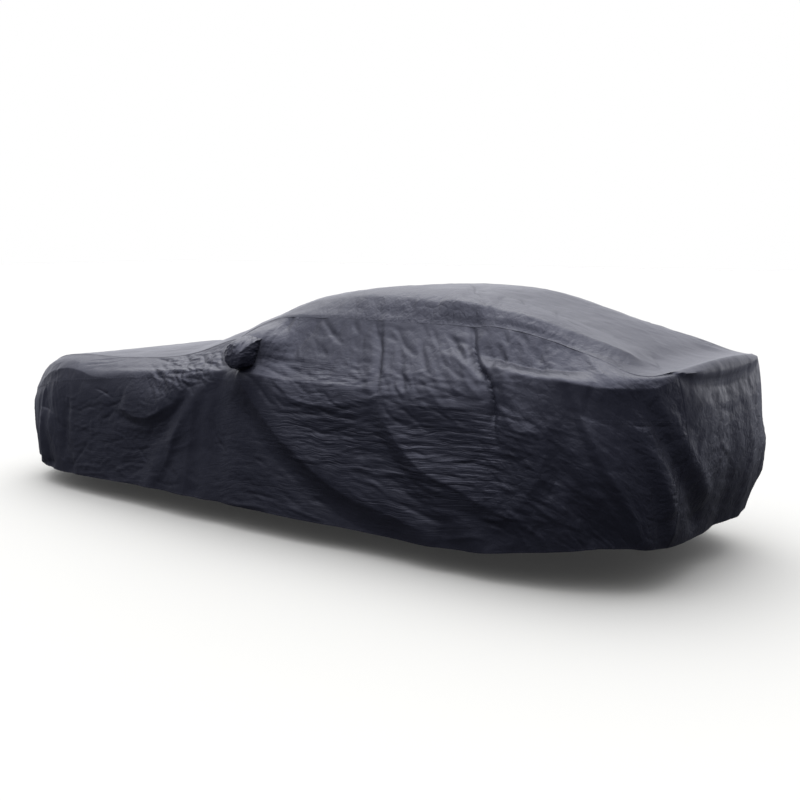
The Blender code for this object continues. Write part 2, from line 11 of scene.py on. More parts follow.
import bpy
import numpy as np
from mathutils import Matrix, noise


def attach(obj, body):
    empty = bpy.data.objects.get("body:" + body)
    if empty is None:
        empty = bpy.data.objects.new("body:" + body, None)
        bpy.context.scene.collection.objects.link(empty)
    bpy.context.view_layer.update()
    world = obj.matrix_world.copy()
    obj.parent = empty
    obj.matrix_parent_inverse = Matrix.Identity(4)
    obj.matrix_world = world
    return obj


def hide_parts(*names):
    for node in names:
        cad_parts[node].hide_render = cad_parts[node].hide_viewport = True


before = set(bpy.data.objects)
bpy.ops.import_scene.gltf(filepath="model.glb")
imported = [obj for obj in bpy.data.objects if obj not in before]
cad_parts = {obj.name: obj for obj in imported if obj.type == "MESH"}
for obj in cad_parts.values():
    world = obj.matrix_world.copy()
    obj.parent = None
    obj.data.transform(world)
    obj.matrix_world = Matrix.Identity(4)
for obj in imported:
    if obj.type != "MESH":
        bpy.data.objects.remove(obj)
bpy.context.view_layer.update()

bl_info = {
    "name": "Fitted car cover",
    "version": (1, 0, 0),
    "blender": (4, 5, 0),
    "location": "View3D > Sidebar > Cover",
    "description": "Builds the sewn cloth sheets of a fitted car cover and a plain studio",
    "category": "Add Mesh",
}

HOLD_POINT = np.array((0.80, 0.0, 1.382))
# Sign of y on either side; the top's own folds already have theirs
LEFT, RIGHT = -1, 1
AS_WRITTEN = 1

# Ribs of a side, nose seam first, tail seam last. Each runs from the seam under the roof edge
# down over the shoulder, the belt seam and the widest line to the hem.
# seam: x     out    z    widest: x   out    z    shoulder: part z   belt: part z  hem: in z
RIBS = (
    (-2.160, 0.460, 0.700, -2.270, 0.480, 0.46, 0.50, 0.645, 0.85, 0.560, 0.04, 0.160),
    (-2.100, 0.560, 0.735, -2.180, 0.660, 0.46, 0.50, 0.675, 0.85, 0.580, 0.03, 0.165),
    (-1.990, 0.630, 0.805, -2.040, 0.785, 0.47, 0.52, 0.740, 0.86, 0.620, 0.02, 0.152),
    (-1.830, 0.670, 0.860, -1.860, 0.870, 0.48, 0.55, 0.800, 0.88, 0.670, 0.01, 0.122),
    (-1.600, 0.700, 0.885, -1.620, 0.920, 0.50, 0.55, 0.835, 0.90, 0.720, 0.01, 0.115),
    (-1.250, 0.710, 0.890, -1.260, 0.930, 0.52, 0.55, 0.840, 0.90, 0.760, 0.01, 0.125),
    (-0.900, 0.710, 0.910, -0.900, 0.935, 0.53, 0.55, 0.860, 0.90, 0.800, 0.01, 0.135),
    (-0.600, 0.690, 0.960, -0.600, 0.940, 0.54, 0.60, 0.890, 0.90, 0.830, 0.01, 0.140),
    (-0.330, 0.650, 1.055, -0.330, 0.945, 0.54, 0.66, 0.920, 0.90, 0.845, 0.00, 0.140),
    (-0.080, 0.630, 1.155, -0.080, 0.950, 0.54, 0.70, 0.930, 0.90, 0.845, 0.00, 0.140),
    (+0.150, 0.640, 1.215, +0.150, 0.950, 0.54, 0.72, 0.930, 0.91, 0.845, 0.00, 0.138),
    (+0.500, 0.650, 1.220, +0.500, 0.955, 0.54, 0.73, 0.935, 0.92, 0.840, 0.00, 0.135),
    (+0.850, 0.650, 1.220, +0.850, 0.960, 0.54, 0.74, 0.945, 0.92, 0.835, 0.00, 0.130),
    (+1.180, 0.645, 1.220, +1.180, 0.965, 0.54, 0.74, 0.970, 0.92, 0.830, 0.00, 0.130),
    (+1.480, 0.640, 1.205, +1.500, 0.965, 0.54, 0.73, 1.000, 0.93, 0.830, 0.01, 0.145),
    (+1.720, 0.645, 1.155, +1.780, 0.945, 0.54, 0.73, 1.010, 0.93, 0.830, 0.03, 0.185),
    (+1.930, 0.665, 1.100, +2.010, 0.885, 0.54, 0.73, 1.005, 0.92, 0.830, 0.05, 0.220),
    (+2.090, 0.695, 1.045, +2.180, 0.780, 0.54, 0.66, 1.000, 0.90, 0.825, 0.06, 0.235),
    (+2.190, 0.675, 1.030, +2.275, 0.660, 0.54, 0.50, 1.002, 0.88, 0.820, 0.06, 0.230),
    (+2.235, 0.570, 1.040, +2.325, 0.540, 0.54, 0.45, 1.010, 0.86, 0.820, 0.06, 0.225),
)

# Centre line of the top sheet, from the nose hem over the roof to the tail hem, with the
# flatness and roundness of its crown.
CENTRE_LINE = (
    (-2.24, 0.160, 2.0, 1.0),
    (-2.33, 0.460, 2.0, 1.0),
    (-2.31, 0.580, 2.0, 1.0),
    (-2.28, 0.665, 2.0, 1.0),
    (-2.23, 0.740, 2.0, 1.0),
    (-2.16, 0.775, 2.0, 1.0),
    (-2.04, 0.815, 2.0, 1.0),
    (-1.87, 0.850, 2.0, 1.0),
    (-1.60, 0.890, 2.0, 1.0),
    (-1.25, 0.930, 2.0, 1.0),
    (-0.95, 0.970, 2.0, 1.0),
    (-0.72, 1.015, 2.2, 1.0),
    (-0.52, 1.095, 2.4, 1.1),
    (-0.25, 1.200, 2.6, 1.2),
    (+0.05, 1.300, 4.0, 1.1),
    (+0.43, 1.367, 4.6, 1.0),
    (+0.82, 1.388, 4.8, 1.0),
    (+1.15, 1.365, 4.8, 1.0),
    (+1.45, 1.290, 4.4, 1.0),
    (+1.70, 1.210, 3.4, 1.0),
    (+1.93, 1.125, 2.2, 1.0),
    (+2.09, 1.063, 2.0, 1.0),
    (+2.20, 1.045, 2.0, 1.0),
    (+2.27, 1.060, 2.0, 1.0),
    (+2.31, 0.985, 2.0, 1.0),
    (+2.345, 0.830, 2.0, 1.0),
    (+2.36, 0.540, 2.0, 1.0),
    (+2.30, 0.225, 2.0, 1.0),
)

# Main folds of the solids: name, path of (x, out, z), half width and height at its two ends
LEFT_FOLDS = (
    ("pocket pull", ((0.00, 0.82, 1.00), (0.03, 0.88, 0.92)), (0.16, 0.16), (0.150, 0.080)),
    ("pocket tent", ((0.00, 0.90, 0.84), (0.12, 0.95, 0.54), (0.28, 0.95, 0.19)),
     (0.12, 0.20), (0.020, 0.006)),
    ("front diagonal ridge", ((-0.03, 0.90, 0.89), (0.16, 0.94, 0.71), (0.47, 0.96, 0.48),
                              (0.84, 0.96, 0.30), (1.25, 0.96, 0.18)), (0.05, 0.08), (0.006, 0.008)),
    ("front diagonal trough", ((-0.04, 0.91, 0.87), (0.13, 0.95, 0.62), (0.38, 0.96, 0.42),
                               (0.70, 0.96, 0.26), (1.04, 0.96, 0.16)), (0.08, 0.12), (-0.014, -0.022)),
    ("hanging trough one", ((-0.23, 0.92, 0.83), (-0.35, 0.94, 0.60), (-0.37, 0.94, 0.18)),
     (0.06, 0.08), (-0.008, -0.016)),
    ("hanging ridge", ((-0.21, 0.92, 0.85), (-0.28, 0.94, 0.66), (-0.28, 0.95, 0.16)),
     (0.04, 0.05), (0.004, 0.008)),
    ("hanging trough two", ((-0.16, 0.92, 0.81), (-0.19, 0.95, 0.56), (-0.18, 0.95, 0.14)),
     (0.06, 0.08), (-0.008, -0.020)),
    ("slanting ridge", ((-0.24, 0.91, 0.87), (-0.34, 0.93, 0.77), (-0.50, 0.94, 0.56),
                        (-0.67, 0.93, 0.32), (-0.77, 0.93, 0.14)), (0.05, 0.07), (0.012, 0.018)),
    ("swag trough", ((-1.10, 0.93, 0.59), (-0.93, 0.93, 0.47), (-0.74, 0.94, 0.46),
                     (-0.56, 0.94, 0.57), (-0.42, 0.93, 0.77)), (0.06, 0.06), (-0.006, -0.010)),
    ("swag bulge", ((-0.93, 0.93, 0.71), (-0.68, 0.93, 0.68), (-0.47, 0.92, 0.79)),
     (0.09, 0.08), (0.018, 0.020)),
    ("nose trough one", ((-1.78, 0.88, 0.60), (-1.80, 0.89, 0.37), (-1.77, 0.89, 0.15)),
     (0.05, 0.05), (-0.008, -0.020)),
    ("nose trough two", ((-1.54, 0.91, 0.70), (-1.58, 0.92, 0.46), (-1.52, 0.92, 0.15)),
     (0.05, 0.05), (-0.006, -0.014)),
    ("nose corner trough", ((-2.03, 0.78, 0.66), (-2.02, 0.79, 0.15)), (0.05, 0.05), (-0.006, -0.018)),
    ("front upper trough", ((0.38, 0.55, 1.32), (0.33, 0.64, 1.24), (0.27, 0.77, 1.06),
                            (0.29, 0.87, 0.92)), (0.05, 0.06), (-0.003, -0.004)),
    ("middle upper trough", ((0.46, 0.55, 1.33), (0.63, 0.74, 1.11), (0.70, 0.86, 0.94)),
     (0.05, 0.06), (-0.003, -0.002)),
    ("long ridge", ((0.76, 0.66, 1.20), (0.84, 0.86, 0.97), (0.98, 0.95, 0.74), (1.19, 0.97, 0.46),
                    (1.36, 0.97, 0.33), (1.54, 0.95, 0.15)), (0.05, 0.08), (0.004, 0.012)),
    ("long trough", ((0.68, 0.66, 1.18), (0.74, 0.86, 0.97), (0.86, 0.95, 0.72), (1.06, 0.97, 0.43),
                     (1.22, 0.97, 0.30), (1.38, 0.95, 0.14)), (0.05, 0.08), (-0.003, -0.012)),
    ("gather trough", ((1.19, 0.55, 1.32), (1.35, 0.71, 1.15), (1.50, 0.88, 1.00),
                       (1.58, 0.95, 0.80), (1.64, 0.96, 0.55)), (0.03, 0.03), (-0.006, -0.008)),
    ("gather ridge", ((1.29, 0.57, 1.28), (1.45, 0.73, 1.13), (1.61, 0.89, 0.99), (1.70, 0.94, 0.78)),
     (0.05, 0.06), (0.008, 0.006)),
    ("rear ridge", ((1.70, 0.62, 1.17), (1.86, 0.87, 0.99), (1.97, 0.89, 0.74), (2.10, 0.82, 0.47),
                    (2.20, 0.69, 0.25)), (0.05, 0.07), (0.004, 0.012)),
    ("rear trough", ((1.78, 0.92, 0.82), (1.92, 0.91, 0.55), (2.05, 0.83, 0.28)),
     (0.05, 0.07), (-0.006, -0.030)),
    ("corner ridge", ((2.08, 0.74, 0.98), (2.23, 0.72, 0.73), (2.28, 0.64, 0.52), (2.28, 0.56, 0.30)),
     (0.04, 0.05), (0.006, 0.018)),
    ("corner trough", ((2.17, 0.75, 0.95), (2.26, 0.67, 0.74), (2.31, 0.53, 0.55), (2.31, 0.33, 0.34)),
     (0.04, 0.07), (-0.010, -0.030)),
    ("tail ridge", ((2.22, 0.70, 0.93), (2.32, 0.54, 0.69), (2.34, 0.32, 0.45)),
     (0.04, 0.06), (0.014, 0.018)),
)
RIGHT_FOLDS = (
    ("pocket pull", ((0.00, 0.82, 1.00), (0.03, 0.88, 0.92)), (0.16, 0.16), (0.150, 0.080)),
    ("pocket tent", ((0.00, 0.90, 0.84), (0.10, 0.95, 0.54), (0.24, 0.95, 0.19)),
     (0.12, 0.18), (0.033, 0.008)),
    ("front diagonal ridge", ((-0.02, 0.90, 0.88), (0.12, 0.94, 0.68), (0.38, 0.96, 0.44),
                              (0.70, 0.96, 0.18)), (0.04, 0.07), (0.016, 0.022)),
    ("front diagonal trough", ((-0.04, 0.91, 0.85), (0.08, 0.95, 0.60), (0.28, 0.96, 0.36),
                               (0.50, 0.96, 0.15)), (0.04, 0.07), (-0.020, -0.044)),
    ("hanging trough", ((-0.20, 0.92, 0.82), (-0.31, 0.94, 0.55), (-0.36, 0.94, 0.15)),
     (0.04, 0.07), (-0.012, -0.036)),
    ("slanting ridge", ((-0.28, 0.92, 0.85), (-0.48, 0.94, 0.60), (-0.70, 0.93, 0.15)),
     (0.05, 0.07), (0.010, 0.020)),
    ("swag trough", ((-1.20, 0.93, 0.62), (-1.00, 0.93, 0.46), (-0.78, 0.94, 0.50),
                     (-0.60, 0.93, 0.75)), (0.05, 0.06), (-0.010, -0.024)),
    ("nose trough one", ((-1.72, 0.90, 0.62), (-1.75, 0.90, 0.15)), (0.05, 0.06), (-0.006, -0.018)),
    ("nose trough two", ((-1.99, 0.80, 0.64), (-1.98, 0.80, 0.15)), (0.05, 0.05), (-0.006, -0.016)),
    ("front upper trough", ((0.36, 0.57, 1.30), (0.30, 0.77, 1.06), (0.32, 0.87, 0.92)),
     (0.04, 0.06), (-0.010, -0.012)),
    ("long ridge", ((0.70, 0.66, 1.20), (0.78, 0.86, 0.97), (0.90, 0.95, 0.72), (1.05, 0.97, 0.14)),
     (0.04, 0.07), (0.010, 0.026)),
    ("long trough", ((0.80, 0.66, 1.18), (0.90, 0.88, 0.95), (1.04, 0.95, 0.70), (1.24, 0.97, 0.14)),
     (0.04, 0.07), (-0.008, -0.026)),
    ("gather trough", ((1.24, 0.55, 1.31), (1.42, 0.76, 1.10), (1.54, 0.92, 0.90), (1.58, 0.96, 0.60)),
     (0.04, 0.05), (-0.014, -0.018)),
    ("rear ridge", ((1.72, 0.64, 1.15), (1.84, 0.88, 0.97), (1.98, 0.88, 0.60), (2.08, 0.80, 0.24)),
     (0.04, 0.07), (0.008, 0.026)),
    ("corner trough", ((2.14, 0.77, 0.92), (2.22, 0.72, 0.60), (2.22, 0.68, 0.26)),
     (0.05, 0.06), (-0.010, -0.034)),
    ("corner bulge", ((2.29, 0.60, 0.58), (2.28, 0.62, 0.42)), (0.08, 0.09), (0.026, 0.034)),
)
# On the top sheet the paths are (x, y, z), with y negative on the left.
TOP_FOLDS = (
    ("roof gather", ((1.16, -0.50, 1.34), (1.06, -0.22, 1.37), (0.98, 0.05, 1.38)),
     (0.05, 0.04), (-0.014, -0.002)),
    ("rear hollow", ((2.06, -0.42, 1.06), (2.07, 0.0, 1.07), (2.06, 0.42, 1.06)),
     (0.09, 0.09), (-0.014, -0.014)),
    ("lip", ((2.19, -0.60, 1.04), (2.26, 0.0, 1.06), (2.19, 0.60, 1.04)), (0.05, 0.05), (0.010, 0.010)),
    ("tail trough", ((2.33, -0.05, 0.90), (2.36, -0.02, 0.55), (2.32, 0.02, 0.24)),
     (0.06, 0.08), (-0.006, -0.020)),
    ("tail ridge", ((2.34, 0.22, 0.85), (2.35, 0.26, 0.55), (2.31, 0.28, 0.24)),
     (0.06, 0.08), (0.006, 0.018)),
    ("nose trough left", ((-2.30, -0.22, 0.60), (-2.28, -0.24, 0.15)), (0.06, 0.07), (-0.006, -0.018)),
    ("nose trough right", ((-2.30, 0.26, 0.60), (-2.28, 0.25, 0.15)), (0.06, 0.07), (-0.006, -0.018)),
    ("front slope trough left", ((-0.30, -0.62, 1.08), (-0.45, -0.35, 1.10), (-0.62, -0.05, 1.05)),
     (0.06, 0.07), (-0.012, -0.004)),
    ("front slope trough right", ((-0.28, 0.60, 1.10), (-0.42, 0.36, 1.11), (-0.62, 0.08, 1.05)),
     (0.06, 0.07), (-0.010, -0.004)),
)
# Slow uneven swell of the whole cover: turns along x, y and z in radians a metre, and phase
SWAY_WAVES = ((7.3, 2.0, 4.1, 0.0), (-5.2, 3.1, 9.4, 1.3), (12.5, -3.0, 0.0, -0.6))
SWAY_HEIGHT = 0.002

# A box deep inside the cover, away from which every crease rises
INNER_LOW = (-1.6, -0.45, -9.0)
INNER_HIGH = (1.5, 0.45, 0.75)
# Under the belt the ribs between these two lean towards the tail, by so many ribs a stop
LEAN = 1.4
LEAN_RIBS = (7.5, 19.0)

# Mirror pocket: the ribs and stops that its seam lies between, its knob, how the cloth gathers
# from the seam onto the knob, and its crumples
POCKET_RIBS = (8.90, 9.75)
POCKET_STOPS = (0.62, 1.08)
POCKET_NECK_OUT = 0.965
POCKET_TIP_OUT = 1.070
POCKET_CENTRE = (+0.030, 1.030)
POCKET_HALF_LENGTH = 0.102
POCKET_HALF_HEIGHT = 0.088
POCKET_FLATNESS = 0.8
POCKET_DROOP = 0.04
POCKET_COLLAR = (0.35, 0.75)
POCKET_CRUMPLE_SIZE = 0.05
POCKET_CRUMPLE_HEIGHT = 0.006
POCKET_CORE_OUT = 0.93
POCKET_CALM = 0.15
POCKET_HALF_FLAT = 0.17
POCKET_SEAM_RUN = 0.15
POCKET_PLEATS = 0.6

# Mesh cells: along a side before, over and after the pocket, down the upper sheet before, over
# and under it, down the lower sheet, along and across the top sheet, and over the pocket
COLUMNS = (236, 22, 222)
UPPER_ROWS = (22, 14, 24)
LOWER_ROWS = 98
TOP_ROWS = 470
TOP_COLUMNS = 100
POCKET_CELLS = 90
# The top sheet's columns lie closer together towards its edges, by this measure
EDGE_CLOSENESS = 0.15
# Finer steps that lengths are measured along
FINE_STEPS = 600
FINE_STOP_STEPS = 80
POCKET_RIM_STEPS = (48, 32)
FOLD_STEPS_PER_POINT = 6
# Stops down a rib: 0 roof seam, 1 shoulder, 2 belt seam, 3 widest line, 4 hem
BELT_STOP = 2
WIDE_STOP = 3
LAST_STOP = 4
LAST_RIB = len(RIBS) - 1
# How much squarer in plan the nose and the tail are than the roof, as a power
END_SQUARENESS = 3
# Main folds are followed out to so many of their half widths
FOLD_BELLS = 3

# Seams: the upper sheet laps under the belt seam, and the top sheet over the sides, gently raised.
# The belt's lap is given in metres, with the length of a stop there, and the top's in ribs or stops.
SEAM_LAP = 0.010
METRES_A_STOP = 0.375
TOP_LAP_RIBS = 0.03
TOP_LAP_STOPS = 0.04
LAP_RISE = 0.0010
LAP_BLEND = 0.06
# Metres of cloth to the whole texture square
UV_SPAN = 8.0
# Edges sharper than this, such as the rims of the sheets, aren't smoothed over
RIM_ANGLE = math.radians(60)
MILLIMETRE = 0.001


# ---------------------------------------------------------------- shape of the cloth

def smooth_rows(rows, at):
    """Values on the smooth curve through the rows, at the given row numbers."""
    rows = np.asarray(rows, float)
    at = np.asarray(at, float)
    first = np.clip(np.floor(at).astype(int), 0, len(rows) - 2)
    part = (at - first).reshape((-1,) + (1,) * (rows.ndim - 1))
    padded = np.concatenate([[2 * rows[0] - rows[1]], rows, [2 * rows[-1] - rows[-2]]])
    before, start, end, after = (padded[first + step] for step in range(4))
    bend = 2 * before - 5 * start + 4 * end - after
    turn = 3 * (start - end) + after - before
    return start + 0.5 * part * (end - before + part * (bend + part * turn))


def rib_stops():
    """The five stops of every rib: seam, shoulder, belt, widest and hem, as (x, out, z)."""
    table = np.array(RIBS)
    seam, wide = table[:, 0:2], table[:, 3:5]
    span = wide - seam
    shoulder = seam + table[:, 6:7] * span
    belt = seam + table[:, 8:9] * span
    hem = wide - table[:, 10:11] * span / np.linalg.norm(span, axis=1, keepdims=True)
    plans = (seam, shoulder, belt, wide, hem)
    heights = (table[:, 2], table[:, 7], table[:, 9], table[:, 5], table[:, 11])
    return np.stack([np.column_stack([plan, z]) for plan, z in zip(plans, heights)], axis=1)


STOPS = rib_stops()


def leaning(ribs, stop):
    """Rib numbers at a stop: under the belt seam the ribs lean towards the tail."""
    start, end = LEAN_RIBS
    lean = LEAN * np.sin(np.pi * np.clip((ribs - start) / (end - start), 0, 1)) ** 2
    return ribs + lean * max(stop / BELT_STOP - 1, 0)


def side_points(side, ribs, stops):
    """Points of one side at rib numbers and at stops 0 (seam) to 4 (hem)."""
    ribs = np.asarray(ribs, float)
    lines = []
    for stop in stops:
        along = smooth_rows(STOPS, leaning(ribs, stop))
        lines.append(smooth_rows(np.swapaxes(along, 0, 1), [stop])[0])
    return np.stack(lines, axis=1) * (1, side, 1)


def running_length(points):
    """Length along a line of points, from its start."""
    return np.concatenate([[0], np.cumsum(np.linalg.norm(np.diff(points, axis=0), axis=-1))])


FINE_RIBS = np.linspace(0, LAST_RIB, FINE_STEPS)
FINE_RUN = running_length(side_points(RIGHT, FINE_RIBS, [WIDE_STOP])[:, 0])
FINE_STOPS = np.linspace(0, LAST_STOP, FINE_STOP_STEPS + 1)
SIDE_RUN = FINE_RUN[-1]


def side_flat(ribs, stops):
    """Place on the flat cloth of a side: metres back from the nose seam, down from the roof seam."""
    ribs = np.asarray(ribs, float)
    fine = side_points(RIGHT, ribs, FINE_STOPS)
    runs = [np.interp(leaning(ribs, stop), FINE_RIBS, FINE_RUN) for stop in FINE_STOPS]
    runs = np.stack(runs, axis=1)
    steps = np.linalg.norm(np.diff(fine, axis=1), axis=-1) ** 2 - np.diff(runs, axis=1) ** 2
    downs = np.cumsum(np.sqrt(np.maximum(steps, 0)), axis=1)
    downs = np.concatenate([np.zeros((len(ribs), 1)), downs], axis=1)
    run = np.stack([np.interp(stops, FINE_STOPS, row) for row in runs])
    down = np.stack([np.interp(stops, FINE_STOPS, row) for row in downs])
    return np.stack([run, down], axis=-1)


def top_edge(side, rows):
    """The top sheet's edge: down the nose seam, along the roof seam and down the tail seam."""
    edge = []
    for row in rows:
        rib = np.clip(row - LAST_STOP, 0, LAST_RIB)
        stop = max(LAST_STOP - row, row - LAST_STOP - LAST_RIB, 0)
        edge.append(side_points(side, [rib], [stop])[0, 0])
    return np.array(edge)


def top_points(rows, parts):
    """Points of the top sheet at row numbers, and across from -1 (left seam) to 1 (right seam)."""
    rows = np.asarray(rows, float)
    centre = smooth_rows(CENTRE_LINE, rows)[:, None, :]
    parts = np.asarray(parts, float)
    left, right = (top_edge(side, rows)[:, None, :] for side in (LEFT, RIGHT))
    edge = np.where(parts[None, :, None] < 0, left, right)
    part = np.abs(parts)[None, :]
    drop = 1 - (1 - np.minimum(part, 1) ** centre[..., 2]) ** (1 / centre[..., 3])
    ends = np.maximum(LAST_STOP + 1 - rows, rows - LAST_STOP - LAST_RIB + 1)
    squareness = 2 + END_SQUARENESS * np.clip(ends, 0, 1)[:, None]
    x = centre[..., 0] + (edge[..., 0] - centre[..., 0]) * part ** squareness
    y = edge[..., 1] * part
    z = centre[..., 1] + (edge[..., 2] - centre[..., 1]) * drop
    return np.stack([x, y, z], axis=-1)


def outward(points):
    """Unit direction out of the cover at each point: away from a box deep inside it."""
    away = points - np.clip(points, INNER_LOW, INNER_HIGH)
    return away / np.linalg.norm(away, axis=-1, keepdims=True)


def near_line(points, line, reach):
    """Distance from the points to a line, how far along it that is (0 to 1) and on which side.

    Only points within reach of the line's box count; the others are left out of the mask.
    """
    near = np.all((points > line.min(axis=0) - reach) & (points < line.max(axis=0) + reach), axis=-1)
    found = points[near]
    nearest = np.full(len(found), np.inf)
    along = np.zeros(len(found))
    hand = np.zeros(len(found))
    for number, (start, end) in enumerate(zip(line[:-1], line[1:])):
        span = end - start
        offset = found - start
        part = np.clip(offset @ span / (span @ span), 0, 1)
        distance = np.linalg.norm(offset - part[:, None] * span, axis=-1)
        closer = distance < nearest
        along = np.where(closer, (number + part) / (len(line) - 1), along)
        hand = np.where(closer, span[0] * offset[:, 1] - span[1] * offset[:, 0], hand)
        nearest = np.minimum(nearest, distance)
    return near, nearest, along, hand


def curve_through(path):
    """Closely spaced points of the smooth curve through a path."""
    return smooth_rows(path, np.linspace(0, len(path) - 1, FOLD_STEPS_PER_POINT * len(path)))


def add_fold(lift, points, path, widths, heights):
    """Adds one main fold of the solids: a bell across it that changes evenly along it."""
    near, distance, along, _hand = near_line(points, curve_through(path), FOLD_BELLS * max(widths))
    width = widths[0] + (widths[1] - widths[0]) * along
    height = heights[0] + (heights[1] - heights[0]) * along
    lift[near] += height * np.exp(-(distance / width) ** 2)


def main_lift(points):
    """Height of the solids' own folds and swell at the points."""
    lift = SWAY_HEIGHT * sum(np.sin(points @ np.array(wave[:3]) + wave[3]) for wave in SWAY_WAVES)
    for mirror, folds in ((LEFT, LEFT_FOLDS), (RIGHT, RIGHT_FOLDS), (AS_WRITTEN, TOP_FOLDS)):
        for _name, path, widths, heights in folds:
            add_fold(lift, points, np.array(path) * (1, mirror, 1), widths, heights)
    return lift


# ---------------------------------------------------------------- creases of the cloth

# Creases listed one by one on the flat cloth: path, reach of the two flanks and height in mm, under
# 0 for a valley. A side's path is (back from the nose seam, down from the roof seam). The first
# flank is the lower one of a crease drawn towards the tail, and the one nearer the nose of a
# crease drawn downwards.
LEFT_BROAD = (
    # long fold that slants down from the pocket: crisp upper edge, wide dark face under it
    (((2.50, 0.40), (2.60, 0.52), (2.70, 0.61), (2.80, 0.68), (2.90, 0.745), (3.00, 0.795),
      (3.10, 0.85), (3.20, 0.905), (3.30, 0.95), (3.45, 0.995), (3.60, 1.025), (3.80, 1.07),
      (3.98, 1.13)), (140, 260), 42),
    # long soft fold down the middle
    (((3.56, 0.46), (3.62, 0.56), (3.68, 0.62), (3.76, 0.70), (3.86, 0.78), (3.96, 0.835), (4.06, 0.885),
      (4.16, 0.95), (4.26, 1.01), (4.38, 1.07)), (90, 150), 31),
    (((3.38, 0.00), (3.43, 0.12), (3.48, 0.22), (3.53, 0.34), (3.57, 0.46)), (60, 22), -16),
    # turn of the cloth under the windows
    (((2.72, 0.46), (2.85, 0.515), (3.00, 0.535), (3.15, 0.54), (3.30, 0.52), (3.45, 0.495), (3.57, 0.49)),
     (150, 150), 22),
    (((3.62, 0.495), (3.80, 0.505), (4.00, 0.50), (4.15, 0.485)), (120, 120), 20),
    (((2.93, 0.00), (2.90, 0.10), (2.85, 0.20), (2.80, 0.27)), (100, 40), -8),
    # swags over the front wheel
    (((1.44, 0.40), (1.52, 0.45), (1.62, 0.485), (1.72, 0.492), (1.84, 0.47), (1.94, 0.425), (2.02, 0.36)),
     (60, 240), 34),
    (((1.34, 0.48), (1.46, 0.535), (1.58, 0.55), (1.72, 0.555), (1.84, 0.53), (1.93, 0.47), (2.00, 0.40)),
     (80, 50), 12),
    (((1.05, 0.30), (1.25, 0.36), (1.45, 0.40)), (160, 180), 14),
    # folds that hang before the pocket
    (((2.10, 0.38), (2.09, 0.50), (2.06, 0.65), (2.04, 0.80), (2.03, 0.95), (2.02, 1.07)), (200, 160), 26),
    # hem drawn out a little before the rear wheel
    (((0.95, 0.93), (1.30, 0.97), (1.80, 1.04), (2.30, 1.12), (2.80, 1.16), (3.30, 1.18)), (100, 320), 38),
    # nose corner
    (((0.64, 0.44), (0.61, 0.53), (0.59, 0.66), (0.58, 0.80)), (90, 220), 34),
    (((0.94, 0.38), (0.92, 0.50), (0.89, 0.65), (0.86, 0.80)), (60, 40), -12),
    # behind the rear door: hollow under the roof seam, and folds under the shelf
    (((4.02, 0.16), (4.15, 0.19), (4.30, 0.20), (4.45, 0.17), (4.56, 0.11)), (80, 200), -50),
    (((4.22, 0.50), (4.32, 0.56), (4.44, 0.52)), (180, 200), 20),
    (((4.46, 0.27), (4.49, 0.36), (4.515, 0.45), (4.54, 0.53), (4.57, 0.61)), (60, 28), -26),
    (((4.44, 0.50), (4.46, 0.62), (4.46, 0.75), (4.42, 0.90)), (90, 60), -20),
    (((4.53, 0.38), (4.56, 0.50), (4.62, 0.62), (4.70, 0.74), (4.80, 0.86)), (50, 180), 28),
    (((4.71, 0.29), (4.75, 0.38), (4.79, 0.46), (4.83, 0.54), (4.87, 0.63), (4.90, 0.70)), (40, 110), 28),
)
